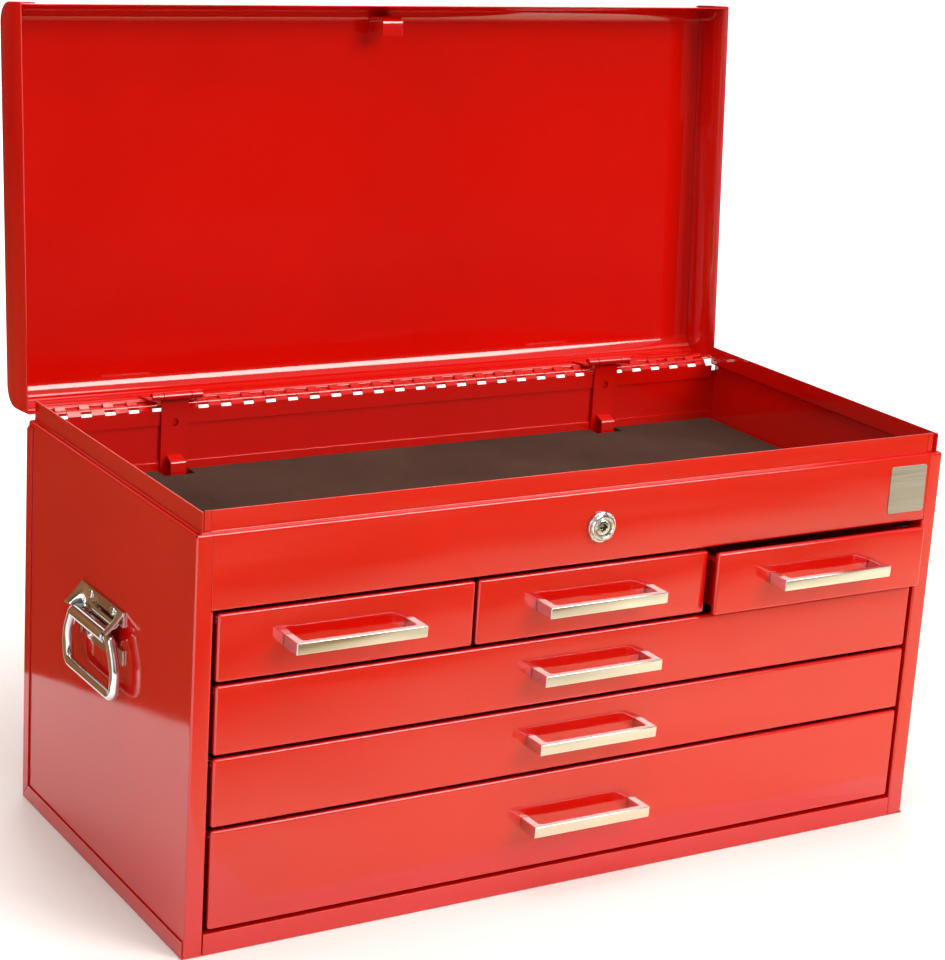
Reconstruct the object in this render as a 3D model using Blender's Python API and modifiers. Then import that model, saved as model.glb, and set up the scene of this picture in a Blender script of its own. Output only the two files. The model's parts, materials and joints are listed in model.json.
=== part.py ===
"""Sheet-steel tool chest: six drawers under a lined till, a hinged lid, carrying handles and a lid lock.

Metres, with +Z up and +Y to the back. The origin is the middle of the underside.
The lid stands open on its stop and the right-hand small drawer is a little pulled out.
"""

import math

import bmesh
import bpy
from mathutils import Matrix, Vector

# Sheet and fits
SHEET = 0.001
STRAP = 0.0014
CLEARANCE = 0.0003

# Body
BODY_WIDTH = 0.662
BODY_DEPTH = 0.313
POST_WIDTH = 0.0147
POST_TOP_WIDTH = 0.0127
POST_RETURN = 0.013
RAIL_HEIGHT = 0.0164
RAIL_RETURN = 0.006
SIDE_STRIP_HEIGHT = 0.013
BACK_STRIP_WIDTH = 0.0104
STRIP_CHAMFER = 0.003
FRONT_PANEL_HEIGHT = 0.056
FRONT_PANEL_RETURN = 0.0115
LIP_INSET = 0.0048
LIP_HEIGHT = 0.0154
CORNER_NOTCH = 0.0025
BACK_TOP_DROP = 0.0068

# Drawers
DRAWER_GAP = 0.0027
DRAWER_SIDE_GAP = 0.0035
DEEP_FRONT = 0.0762
WIDE_FRONT = 0.0519
SMALL_FRONT = 0.0502
SMALL_DRAWERS = 3
FRONT_DEPTH = 0.0044
TRAY_INSET = 0.0065
TRAY_LIFT = 0.003
TRAY_DROP = 0.0085
TRAY_BACK_ROOM = 0.0245
TRAY_FLANGE = 0.005
RUNNER_ROOM = 0.0025
RUNNER_OPENING = 0.0024
RUNNER_BACK_ROOM = 0.006
DIVIDER_FLANGE = 0.008
PULL_LENGTH = 0.1045
PULL_REACH = 0.0215
PULL_HEIGHT = 0.009
PULL_LEG = 0.007
PULL_BAR = 0.005
AJAR = 0.010

# Till
FLOOR_FLANGE = 0.0105
LINER_THICKNESS = 0.0025
LINER_MARGIN = 0.0025
SLOT_MARGIN = 0.0015

# Lid
LID_HEIGHT = 0.043
LID_BEND = 0.016
LID_BEND_STEPS = 6
LID_REST_GAP = 0.002
END_FLANGE = 0.012
LID_OPEN = math.radians(94.5)

# Hinge
HINGE_END_ROOM = 0.0135
HINGE_OUT = 0.0026
HINGE_RISE = 0.002
HINGE_KNUCKLES = 63
KNUCKLE_GAP = 0.0004
KNUCKLE_RADIUS = 0.0022
HINGE_PIN_RADIUS = 0.0009
LEAF_HEIGHT = 0.0151
LEAF_NOTCH = 0.0043
LEAF_LIP_RISE = 0.0029
LEAF_LIP_SHORT = 0.0008
ROLL_STEPS = 6

# Lock bars, with the link pin's place taken from the hinge axis while the lid is open
BAR_FROM_SIDE = 0.1235
BAR_WIDTH = 0.0235
BAR_BELOW_FLOOR = 0.016
BAR_HOLE_RADIUS = 0.0033
BAR_HOLE_BELOW_LINK = 0.0225
LINK_FORWARD = 0.0088
LINK_RISE = 0.0095
LINK_PIN_RADIUS = 0.0015
EYE_RADIUS = 0.0034
LUG_WIDTH = 0.0095
LUG_GAP = 0.0005
BRACKET_HEIGHT = 0.015
FINGER_WIDTH = 0.013
FINGER_REACH = 0.0093
FINGER_TOP = 0.0161
FINGER_SLOPE = 0.0032
FINGER_CORNER = 0.0025
FINGER_BELOW_FLOOR = 0.003

# Lock and lid catch
LOCK_DROP = 0.028
LOCK_BEZEL_RADIUS = 0.012
LOCK_BEZEL_HEIGHT = 0.005
LOCK_BEZEL_STEP = 0.0015
LOCK_BARREL_RADIUS = 0.009
LOCK_LENGTH = 0.0245
LOCK_BORE_RADIUS = 0.0062
KEYWAY_WIDTH = 0.0016
KEYWAY_HEIGHT = 0.007
KEYWAY_DEPTH = 0.006
NUT_ACROSS = 0.024
NUT_THICKNESS = 0.005
TURN_STEPS = 24
CAM_THICKNESS = 0.0015
CAM_WIDTH = 0.012
CAM_TAIL = 0.007
CAM_CLEAR = 0.0022
TONGUE_REACH = 0.0085
TONGUE_WIDTH = 0.010
CATCH_WIDTH = 0.019
CATCH_FLANGE = 0.013
CATCH_SET_BACK = 0.006
CATCH_BEND = 0.005
CATCH_LENGTH = 0.023
CATCH_TO_CAM = 0.0008

# Side handles
HANDLE_HEIGHT = 0.202
PLATE_LENGTH = 0.080
NOSE_LENGTH = 0.059
HOOD_LAP = 0.0006
PLATE_HEIGHT = 0.041
PLATE_SHEET = 0.0015
PLATE_BEND = 0.004
WINDOW_LENGTH = 0.044
WINDOW_WIDTH = 0.0035
BAIL_RADIUS = 0.004
BAIL_PLAY = 0.0004
BAIL_OUT = 0.0095
BAIL_SPAN = 0.092
BAIL_FOOT_SPAN = 0.086
BAIL_TOP_SPAN = 0.074
BAIL_DROP = 0.0435
BAIL_STUB = 0.018
BAIL_CORNER = 0.006
BAIL_BOW = 0.030
BAIL_STEPS = 5

# Finishes: colour, roughness, metallic
RED_PAINT = ((0.62, 0.008, 0.004), 0.12, 0.0)
CHROME = ((0.78, 0.76, 0.72), 0.08, 1.0)
ZINC = ((0.55, 0.55, 0.53), 0.35, 1.0)
FOAM = ((0.085, 0.045, 0.028), 0.9, 0.0)

# Places that follow from the sizes above
WELD = 1e-6
HALF_WIDTH = BODY_WIDTH / 2
HINGE_LENGTH = BODY_WIDTH - 2 * HINGE_END_ROOM
BAR_X = HALF_WIDTH - BAR_FROM_SIDE
HALF_DEPTH = BODY_DEPTH / 2
FRONT_Y = -HALF_DEPTH
BACK_Y = HALF_DEPTH
LAP = SHEET + CLEARANCE
WALL_X = HALF_WIDTH - LAP
INNER_X = WALL_X - SHEET
POST_X = WALL_X - POST_WIDTH
POST_TOP_X = WALL_X - POST_TOP_WIDTH
LIP_X = WALL_X - LIP_INSET
LIP_Y = FRONT_Y + LIP_INSET
DEEP_Z = RAIL_HEIGHT + DRAWER_GAP
LOWER_Z = DEEP_Z + DEEP_FRONT + DRAWER_GAP
UPPER_Z = LOWER_Z + WIDE_FRONT + DRAWER_GAP
SMALL_Z = UPPER_Z + WIDE_FRONT + DRAWER_GAP
PANEL_Z = SMALL_Z + SMALL_FRONT + DRAWER_GAP
LEDGE_Z = PANEL_Z + FRONT_PANEL_HEIGHT
LIP_Z = LEDGE_Z + LIP_HEIGHT
BACK_TOP_Z = LEDGE_Z - BACK_TOP_DROP
FLOOR_Z = PANEL_Z + LAP
LINER_Z = FLOOR_Z + LAP
DRAWER_HALF = POST_X - DRAWER_SIDE_GAP
SMALL_WIDTH = (2 * DRAWER_HALF - (SMALL_DRAWERS - 1) * DRAWER_GAP) / SMALL_DRAWERS
DIVIDER_X = SMALL_WIDTH / 2 + DRAWER_GAP / 2
RUNNER_Y = FRONT_Y + POST_RETURN + CLEARANCE
TRAY_BACK_Y = BACK_Y - TRAY_BACK_ROOM
LEAF_Y = BACK_Y - SHEET - LAP
RIM_Z = LEDGE_Z + LID_REST_GAP
LID_TOP_Z = RIM_Z + LID_HEIGHT
LID_X = WALL_X + CLEARANCE
LID_BEND_Z = LID_TOP_Z - LID_BEND
HINGE = Vector((0, BACK_Y + HINGE_OUT, LEDGE_Z + HINGE_RISE))
LINK_OPEN = Vector((0, -LINK_FORWARD, LINK_RISE))
LINK_CLOSED = HINGE + Matrix.Rotation(LID_OPEN, 3, "X") @ LINK_OPEN
LINK_SWING = math.hypot(LINK_FORWARD, LINK_RISE) - LINK_FORWARD
LOCK_Z = LEDGE_Z - LOCK_DROP
CAM_Y = FRONT_Y + LOCK_LENGTH + 2 * CLEARANCE + SHEET
CATCH_END_Y = CAM_Y - CATCH_TO_CAM
CATCH_WEB_Y = FRONT_Y + LID_BEND - CATCH_SET_BACK
CATCH_Z = LID_TOP_Z - SHEET - CLEARANCE - CATCH_LENGTH
CAM_LENGTH = CATCH_Z + CAM_CLEAR - LOCK_Z

# Maps an outline's own axes to the chest's, for an outline swept along X, Y or Z
SWEEPS = {
    "X": Matrix(((0, 0, 1), (1, 0, 0), (0, 1, 0))).to_4x4(),
    "Y": Matrix(((1, 0, 0), (0, 0, -1), (0, 1, 0))).to_4x4(),
    "Z": Matrix.Identity(4),
}


def link(name, data):
    """A new object in the scene."""
    obj = bpy.data.objects.new(name, data)
    bpy.context.scene.collection.objects.link(obj)
    return obj


def snap(bm):
    """Rounds every corner to the micrometre, so that faces meant to lie in one plane do."""
    for vert in bm.verts:
        vert.co = [round(value, 6) for value in vert.co]


def as_mesh(source):
    """The evaluated source as a mesh in the chest's own frame, with loose caps welded."""
    bpy.context.view_layer.update()
    graph = bpy.context.evaluated_depsgraph_get()
    mesh = bpy.data.meshes.new_from_object(source.evaluated_get(graph))
    bm = bmesh.new()
    bm.from_mesh(mesh)
    bmesh.ops.transform(bm, matrix=source.matrix_world, verts=bm.verts)
    snap(bm)
    bmesh.ops.remove_doubles(bm, verts=bm.verts, dist=WELD)
    bmesh.ops.recalc_face_normals(bm, faces=bm.faces)
    bm.to_mesh(mesh)
    bm.free()
    bpy.data.objects.remove(source)
    return link("piece", mesh)


def prism(outlines, axis, low, high):
    """A flat outline, followed by any holes in it, swept along an axis."""
    curve = bpy.data.curves.new("outline", "CURVE")
    curve.dimensions = "2D"
    curve.fill_mode = "BOTH"
    curve.extrude = abs(high - low) / 2
    for outline in outlines:
        spline = curve.splines.new("POLY")
        spline.points.add(len(outline) - 1)
        for point, (across, up) in zip(spline.points, outline):
            point.co = (across, up, 0, 1)
        spline.use_cyclic_u = True
    flat = link("outline", curve)
    middle = Vector([(low + high) / 2 if letter == axis else 0 for letter in "XYZ"])
    flat.matrix_world = Matrix.Translation(middle) @ SWEEPS[axis]
    return as_mesh(flat)


def box(x, y, z):
    """A block between two values on each axis, given in either order."""
    spans = [sorted(span) for span in (x, y, z)]
    size = [high - low for low, high in spans]
    middle = [(high + low) / 2 for low, high in spans]
    bm = bmesh.new()
    bmesh.ops.create_cube(bm, size=1)
    bmesh.ops.scale(bm, vec=size, verts=bm.verts)
    bmesh.ops.translate(bm, vec=middle, verts=bm.verts)
    snap(bm)
    mesh = bpy.data.meshes.new("block")
    bm.to_mesh(mesh)
    bm.free()
    return link("block", mesh)


def joined(pieces):
    """One body from pieces that overlap."""
    base, *others = pieces
    for other in others:
        fuse = base.modifiers.new("fuse", "BOOLEAN")
        fuse.operation = "UNION"
        fuse.object = other
    whole = as_mesh(base)
    for other in others:
        bpy.data.objects.remove(other)
    return whole


def cut(piece, cutter, carrier=None):
    """Cuts a piece with another, which stays as a hidden helper on the same carrier."""
    cutter.name = piece.name + "_cutter"
    take = piece.modifiers.new("cut", "BOOLEAN")
    take.operation = "DIFFERENCE"
    take.object = cutter
    file_under(cutter, CUTTERS)
    carry(cutter, carrier)
    cutter.hide_render = True
    cutter.display_type = "WIRE"


def strip(path, thickness):
    """The outline of a bent strip, from the path through the middle of its thickness."""
    points = [Vector(point) for point in path]
    runs = [(b - a).normalized() for a, b in zip(points, points[1:])]
    normals = [Vector((-run.y, run.x)) for run in runs]
    one_side, other_side = [], []
    for before, after, point in zip(normals[:1] + normals, normals + normals[-1:], points):
        offset = (before + after) * (thickness / 2 / (1 + before.dot(after)))
        one_side.append(point + offset)
        other_side.append(point - offset)
    return one_side + other_side[::-1]


def arc(centre, radius, start, end, steps):
    """Points on an arc, with angles in degrees from the outline's first axis."""
    angles = [math.radians(start + (end - start) * i / steps) for i in range(steps + 1)]
    return [Vector(centre) + radius * Vector((math.cos(a), math.sin(a))) for a in angles]


def rounded(corners, radius, steps):
    """A path through corners, with a radius at each one between the ends."""
    points = [Vector(corner) for corner in corners]
    path = [points[0]]
    for before, corner, after in zip(points, points[1:], points[2:]):
        back = (before - corner).normalized()
        on = (after - corner).normalized()
        half = back.angle(on) / 2
        centre = corner + (back + on).normalized() * radius / math.sin(half)
        start = corner + back * radius / math.tan(half) - centre
        end = corner + on * radius / math.tan(half) - centre
        turn = -start.angle_signed(end)
        path += [centre + Matrix.Rotation(turn * i / steps, 2) @ start for i in range(steps + 1)]
    return path + [points[-1]]


def cylinder(axis, centre, radius, low, high, sides):
    """A round bar along an axis, with its centre given on the other two axes in order."""
    return prism([arc(centre, radius, 0, 360 * (1 - 1 / sides), sides - 1)], axis, low, high)


def file_under(obj, collection):
    """Moves an object to one collection."""
    for old in list(obj.users_collection):
        old.objects.unlink(obj)
    collection.objects.link(obj)


def carry(obj, carrier):
    """Parents an object to an empty that isn't turned yet, leaving it in place."""
    if carrier:
        obj.parent = carrier
        obj.matrix_parent_inverse = Matrix.Translation(-Vector(carrier["place"]))


def axis_empty(name, place, carrier=None):
    """An empty on a joint's axis, which carries what moves there."""
    empty = link(name, None)
    empty.location = place
    empty["place"] = list(place)
    empty.empty_display_size = SHEET
    carry(empty, carrier)
    file_under(empty, CHEST)
    return empty


def add_part(name, piece, finish, carrier=None, smooth=False):
    """Names a finished piece, gives it its material and hangs it on its carrier."""
    piece.name = name
    piece.data.name = name
    colour, roughness, metallic = finish
    material = bpy.data.materials.new(name)
    material.use_nodes = True
    shader = material.node_tree.nodes["Principled BSDF"]
    shader.inputs["Base Color"].default_value = (*colour, 1)
    shader.inputs["Roughness"].default_value = roughness
    shader.inputs["Metallic"].default_value = metallic
    piece.data.materials.clear()
    piece.data.materials.append(material)
    if smooth:
        piece.data.shade_smooth()
        piece.data.set_sharp_from_angle(angle=math.radians(40))
    file_under(piece, CHEST)
    carry(piece, carrier)
    return piece


def make_bottom_pan():
    """Floor of the body, with strips up both sides and the rail under the deep drawer."""
    floor = box((-HALF_WIDTH, HALF_WIDTH), (FRONT_Y, BACK_Y), (0, SHEET))
    side_outline = [
        (FRONT_Y + 2 * SHEET, 0),
        (BACK_Y, 0),
        (BACK_Y, SHEET),
        (BACK_Y - BACK_STRIP_WIDTH - CLEARANCE, SIDE_STRIP_HEIGHT),
        (FRONT_Y + 2 * SHEET, SIDE_STRIP_HEIGHT),
    ]
    sides = [prism([side_outline], "X", side * HALF_WIDTH, side * (HALF_WIDTH - SHEET)) for side in (-1, 1)]
    rail_path = [
        (FRONT_Y + SHEET / 2, 0),
        (FRONT_Y + SHEET / 2, RAIL_HEIGHT - SHEET / 2),
        (FRONT_Y + RAIL_RETURN, RAIL_HEIGHT - SHEET / 2),
    ]
    rail_end = POST_X - CLEARANCE
    rail = prism([strip(rail_path, SHEET)], "X", -rail_end, rail_end)
    add_part("bottom_pan", joined([floor, *sides, rail]), RED_PAINT)


def make_back_panel():
    """Back of the body, with strips that lap the side panels."""
    plate = box((-HALF_WIDTH, HALF_WIDTH), (BACK_Y - SHEET, BACK_Y), (2 * LAP, BACK_TOP_Z))
    inner_y = BACK_Y - BACK_STRIP_WIDTH
    outline = [
        (BACK_Y, LAP + CLEARANCE),
        (BACK_Y, BACK_TOP_Z),
        (BACK_Y - STRIP_CHAMFER, BACK_TOP_Z + STRIP_CHAMFER),
        (inner_y, BACK_TOP_Z + STRIP_CHAMFER),
        (inner_y, SIDE_STRIP_HEIGHT + 2 * CLEARANCE),
    ]
    sides = [prism([outline], "X", side * HALF_WIDTH, side * (HALF_WIDTH - SHEET)) for side in (-1, 1)]
    add_part("back_panel", joined([plate, *sides]), RED_PAINT)


def make_side_panel(name, side):
    """Side of the body, folded round the front as a post and in at the top as a ledge and lip."""
    back = BACK_Y - LAP
    wall = box((side * INNER_X, side * WALL_X), (FRONT_Y, back), (LAP, LEDGE_Z))
    post_outline = [
        (side * WALL_X, LAP),
        (side * POST_X, LAP),
        (side * POST_X, PANEL_Z - CLEARANCE),
        (side * POST_TOP_X, PANEL_Z - CLEARANCE),
        (side * POST_TOP_X, LEDGE_Z),
        (side * WALL_X, LEDGE_Z),
    ]
    post = prism([post_outline], "Y", FRONT_Y, FRONT_Y + SHEET)
    jamb = box(
        (side * POST_X, side * (POST_X + SHEET)),
        (FRONT_Y, FRONT_Y + POST_RETURN),
        (LAP, PANEL_Z - CLEARANCE),
    )
    ledge = (LEDGE_Z - SHEET, LEDGE_Z)
    lip = (LEDGE_Z - SHEET, LIP_Z)
    side_ledge = box((side * (LIP_X - SHEET), side * WALL_X), (FRONT_Y + LIP_INSET / 2, back), ledge)
    side_lip = box((side * (LIP_X - SHEET), side * LIP_X), (LIP_Y + CORNER_NOTCH, back), lip)
    front_ledge = box((side * POST_TOP_X, side * (WALL_X - CORNER_NOTCH)), (FRONT_Y, LIP_Y + SHEET), ledge)
    front_lip = box((side * POST_TOP_X, side * (LIP_X - CORNER_NOTCH)), (LIP_Y, LIP_Y + SHEET), lip)
    pieces = [wall, post, jamb, side_ledge, side_lip, front_ledge, front_lip]
    add_part(name, joined(pieces), RED_PAINT)


def make_front_panel():
    """Panel above the drawers, with the ledge and lip at its top and a return at its foot."""
    path = [
        (LIP_Y + SHEET / 2, LIP_Z),
        (LIP_Y + SHEET / 2, LEDGE_Z - SHEET / 2),
        (FRONT_Y + SHEET / 2, LEDGE_Z - SHEET / 2),
        (FRONT_Y + SHEET / 2, PANEL_Z + SHEET / 2),
        (FRONT_Y + FRONT_PANEL_RETURN, PANEL_Z + SHEET / 2),
    ]
    end = POST_TOP_X - CLEARANCE
    panel = add_part("front_panel", prism([strip(path, SHEET)], "X", -end, end), RED_PAINT)
    hole_radius = LOCK_BARREL_RADIUS + CLEARANCE
    cut(panel, cylinder("Y", (0, LOCK_Z), hole_radius, FRONT_Y - SHEET, FRONT_Y + 2 * SHEET, TURN_STEPS))


def slot_spans(side):
    """Where a lock bar swings through the till's floor and liner, on X and Y."""
    half = BAR_WIDTH / 2 + SLOT_MARGIN
    finger_y = LINK_CLOSED.y - FINGER_REACH + EYE_RADIUS - STRAP - LINK_SWING
    return (side * BAR_X - half, side * BAR_X + half), (finger_y - SLOT_MARGIN, LEAF_Y)


def make_till_floor():
    """Floor of the till, with an upturned edge at the back and a slot for each lock bar."""
    middle_z = FLOOR_Z + SHEET / 2
    path = [
        (FRONT_Y + LAP, middle_z),
        (LEAF_Y + SHEET / 2, middle_z),
        (LEAF_Y + SHEET / 2, FLOOR_Z + FLOOR_FLANGE),
    ]
    end = INNER_X - CLEARANCE
    floor = add_part("till_floor", prism([strip(path, SHEET)], "X", -end, end), RED_PAINT)
    for side in (-1, 1):
        cut(floor, box(*slot_spans(side), (FLOOR_Z - SHEET, FLOOR_Z + 2 * SHEET)))


def make_till_liner():
    """Foam mat on the till's floor, notched round the lock bars."""
    half = INNER_X - LINER_MARGIN
    front = FRONT_Y + LAP + LINER_MARGIN
    back = LEAF_Y - CLEARANCE
    outline = [(half, front), (half, back)]
    for side in (1, -1):
        (low_x, high_x), (notch_y, _) = slot_spans(side)
        outline += [(high_x, back), (high_x, notch_y), (low_x, notch_y), (low_x, back)]
    outline += [(-half, back), (-half, front)]
    add_part("till_liner", prism([outline], "Z", LINER_Z, LINER_Z + LINER_THICKNESS), FOAM)


def make_divider(name, side):
    """Upright between two small drawers, hung from the till's floor."""
    top = FLOOR_Z - CLEARANCE - SHEET / 2
    path = [
        (side * (DIVIDER_X - DIVIDER_FLANGE), top),
        (side * DIVIDER_X, top),
        (side * DIVIDER_X, SMALL_Z),
    ]
    front = FRONT_Y + max(FRONT_DEPTH, FRONT_PANEL_RETURN) + CLEARANCE
    add_part(name, prism([strip(path, SHEET)], "Y", front, TRAY_BACK_Y), RED_PAINT)


def make_runner(name, carrier_x, tray_x, flange_z, back):
    """Channel on a wall or divider that a tray's flange slides in."""
    inward = math.copysign(1, tray_x - carrier_x)
    web_x = carrier_x + inward * (CLEARANCE + SHEET / 2)
    end_x = tray_x - inward * RUNNER_ROOM
    low_z = flange_z - CLEARANCE - SHEET / 2
    high_z = low_z + RUNNER_OPENING + SHEET
    path = [(end_x, low_z), (web_x, low_z), (web_x, high_z), (end_x, high_z)]
    add_part(name, prism([strip(path, SHEET)], "Y", RUNNER_Y, back), ZINC)


def make_tray(name, low_x, high_x, low_z, high_z, carrier, wide):
    """Tray of a drawer, with a flange along each side that its runners hold. A wide one's back is a piece of its own."""
    half = SHEET / 2
    flange_z = high_z + half
    path = [
        (low_x - TRAY_FLANGE, flange_z),
        (low_x + half, flange_z),
        (low_x + half, low_z + half),
        (high_x - half, low_z + half),
        (high_x - half, flange_z),
        (high_x + TRAY_FLANGE, flange_z),
    ]
    tray = prism([strip(path, SHEET)], "Y", FRONT_Y + LAP, TRAY_BACK_Y)
    room = LAP if wide else half
    back = box(
        (low_x + room, high_x - room),
        (TRAY_BACK_Y - SHEET, TRAY_BACK_Y),
        (low_z + room, flange_z),
    )
    if wide:
        add_part(name + "_back", back, RED_PAINT, carrier)
    else:
        tray = joined([tray, back])
    add_part(name + "_tray", tray, RED_PAINT, carrier)


def thicken(piece):
    """Gives an open shell the sheet's thickness on its inner side."""
    shell = piece.modifiers.new("sheet", "SOLIDIFY")
    shell.thickness = SHEET
    shell.offset = -1
    shell.use_even_offset = True


def make_drawer_front(name, low_x, high_x, low_z, high_z, carrier):
    """Drawer front, folded back along its four edges."""
    bm = bmesh.new()
    bmesh.ops.create_cube(bm, size=1)
    bmesh.ops.scale(bm, vec=(high_x - low_x, FRONT_DEPTH, high_z - low_z), verts=bm.verts)
    middle = ((high_x + low_x) / 2, FRONT_Y + FRONT_DEPTH / 2, (high_z + low_z) / 2)
    bmesh.ops.translate(bm, vec=middle, verts=bm.verts)
    bm.normal_update()
    back_faces = [face for face in bm.faces if face.normal.y > 0.5]
    bmesh.ops.delete(bm, geom=back_faces, context="FACES_ONLY")
    mesh = bpy.data.meshes.new(name)
    bm.to_mesh(mesh)
    bm.free()
    front = add_part(name, link(name, mesh), RED_PAINT, carrier)
    thicken(front)


def make_pull(name, middle_x, middle_z, carrier):
    """Bar pull, with a leg at each end."""
    foot = FRONT_Y - CLEARANCE
    nose = FRONT_Y - PULL_REACH
    half = PULL_LENGTH / 2
    outline = [
        (-half, nose),
        (half, nose),
        (half, foot),
        (half - PULL_LEG, foot),
        (half - PULL_LEG, nose + PULL_BAR),
        (-half + PULL_LEG, nose + PULL_BAR),
        (-half + PULL_LEG, foot),
        (-half, foot),
    ]
    outline = [(middle_x + x, y) for x, y in outline]
    pull = prism([outline], "Z", middle_z - PULL_HEIGHT / 2, middle_z + PULL_HEIGHT / 2)
    add_part(name, pull, CHROME, carrier)


def make_drawer(name, low_x, high_x, low_z, height, left_x, right_x):
    """One drawer on its slide, with a runner for it on whatever stands at each side."""
    high_z = low_z + height
    carrier = axis_empty(name + "_slide", ((low_x + high_x) / 2, FRONT_Y, (low_z + high_z) / 2))
    tray_low_x = low_x + TRAY_INSET
    tray_high_x = high_x - TRAY_INSET
    flange_z = high_z - TRAY_DROP
    make_drawer_front(name + "_front", low_x, high_x, low_z, high_z, carrier)
    make_tray(name, tray_low_x, tray_high_x, low_z + TRAY_LIFT, flange_z, carrier, right_x - left_x == 2 * INNER_X)
    make_pull(name + "_pull", (low_x + high_x) / 2, (low_z + high_z) / 2, carrier)
    for side, carrier_x, tray_x in (("left", left_x, tray_low_x), ("right", right_x, tray_high_x)):
        back = BACK_Y - RUNNER_BACK_ROOM if abs(carrier_x) == INNER_X else TRAY_BACK_Y
        make_runner(f"{name}_{side}_runner", carrier_x, tray_x, flange_z, back)
    return carrier


def make_drawers():
    """Three full-width drawers below a row of small ones."""
    for name, low_z, height in (
        ("deep_drawer", DEEP_Z, DEEP_FRONT),
        ("lower_drawer", LOWER_Z, WIDE_FRONT),
        ("upper_drawer", UPPER_Z, WIDE_FRONT),
    ):
        make_drawer(name, -DRAWER_HALF, DRAWER_HALF, low_z, height, -INNER_X, INNER_X)
    uprights = [-INNER_X, -DIVIDER_X, DIVIDER_X, INNER_X]
    for index, name in enumerate(("left_drawer", "middle_drawer", "right_drawer")):
        low_x = -DRAWER_HALF + index * (SMALL_WIDTH + DRAWER_GAP)
        left_x, right_x = uprights[index : index + 2]
        left_face = left_x if left_x == -INNER_X else left_x + SHEET / 2
        right_face = right_x if right_x == INNER_X else right_x - SHEET / 2
        slide = make_drawer(name, low_x, low_x + SMALL_WIDTH, SMALL_Z, SMALL_FRONT, left_face, right_face)
    slide.location.y -= AJAR


def make_lid(carrier):
    """Lid, modelled shut: a bent shell, a folded cap over each end and the catch for the lock."""
    path = [
        (FRONT_Y + SHEET / 2, RIM_Z),
        (FRONT_Y + SHEET / 2, LID_TOP_Z - SHEET / 2),
        (BACK_Y - SHEET / 2, LID_TOP_Z - SHEET / 2),
        (BACK_Y - SHEET / 2, HINGE.z + LEAF_NOTCH),
    ]
    bend = rounded(path, LID_BEND - SHEET / 2, LID_BEND_STEPS)
    shell_end = LID_X - LAP
    shell = prism([strip(bend, SHEET)], "X", -shell_end, shell_end)
    add_part("lid_shell", shell, RED_PAINT, carrier, smooth=True)

    corners = [
        (FRONT_Y - LAP, RIM_Z),
        (FRONT_Y - LAP, LID_TOP_Z + LAP),
        (BACK_Y + LAP, LID_TOP_Z + LAP),
        (BACK_Y + LAP, RIM_Z),
    ]
    cap_outline = rounded(corners, LID_BEND + LAP, LID_BEND_STEPS)
    reach = CLEARANCE + SHEET / 2
    flange_path = [
        (FRONT_Y - reach, RIM_Z),
        (FRONT_Y - reach, LID_TOP_Z + reach),
        (BACK_Y + reach, LID_TOP_Z + reach),
        (BACK_Y + reach, RIM_Z),
    ]
    flange_outline = strip(rounded(flange_path, LID_BEND + reach, LID_BEND_STEPS), SHEET)
    for name, side in (("lid_left_end", -1), ("lid_right_end", 1)):
        outer = side * LID_X
        plate = prism([cap_outline], "X", outer, outer - side * SHEET)
        flange = prism([flange_outline], "X", outer, outer - side * END_FLANGE)
        add_part(name, joined([plate, flange]), RED_PAINT, carrier, smooth=True)

    top_z = LID_TOP_Z - LAP - STRAP / 2
    catch_path = [
        (CATCH_WEB_Y + CATCH_FLANGE, top_z),
        (CATCH_WEB_Y, top_z),
        (CATCH_WEB_Y, CATCH_Z - STRAP / 2),
        (CATCH_END_Y, CATCH_Z - STRAP / 2),
    ]
    catch = prism([strip(rounded(catch_path, CATCH_BEND, ROLL_STEPS), STRAP)], "X", -CATCH_WIDTH / 2, CATCH_WIDTH / 2)
    add_part("lid_catch", catch, RED_PAINT, carrier, smooth=True)


def make_hinge_leaf(name, up, first, carrier):
    """Leaf of the long hinge: a plate along its wall with every second knuckle rolled round the pin."""
    pitch = HINGE_LENGTH / HINGE_KNUCKLES
    plate_y = LEAF_Y + SHEET / 2
    span = (-HINGE_LENGTH / 2, HINGE_LENGTH / 2)
    foot = LEAF_LIP_RISE if up > 0 else LEAF_NOTCH
    plate = box(span, (LEAF_Y, LEAF_Y + SHEET), (HINGE.z + up * foot, HINGE.z + up * LEAF_HEIGHT))
    roll = arc((HINGE.y, HINGE.z), KNUCKLE_RADIUS - SHEET / 2, 180, 180 + up * 270, ROLL_STEPS)
    path = [
        (plate_y, HINGE.z + up * (LEAF_NOTCH + LEAF_HEIGHT) / 2),
        (plate_y, HINGE.z + up * (LEAF_NOTCH - KNUCKLE_RADIUS / 2)),
        *roll,
    ]
    outline = strip(path, SHEET)
    knuckles = []
    for index in range(first, HINGE_KNUCKLES, 2):
        low = -HINGE_LENGTH / 2 + index * pitch + KNUCKLE_GAP / 2
        knuckles.append(prism([outline], "X", low, low + pitch - KNUCKLE_GAP))
    pieces = [plate, *knuckles]
    if up > 0:
        lip_z = HINGE.z + foot
        pieces.insert(1, box(span, (plate_y, HINGE.y - LEAF_LIP_SHORT), (lip_z, lip_z + SHEET)))
    add_part(name, joined(pieces), RED_PAINT, carrier, smooth=True)


def make_hinge(lid_carrier):
    """Long hinge along the back, with its pin."""
    make_hinge_leaf("hinge_lower_leaf", -1, 0, None)
    make_hinge_leaf("hinge_upper_leaf", 1, 1, lid_carrier)
    half = HINGE_LENGTH / 2
    pin = cylinder("X", (HINGE.y, HINGE.z), HINGE_PIN_RADIUS, -half, half, 8)
    add_part("hinge_pin", pin, ZINC, smooth=True)


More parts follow.
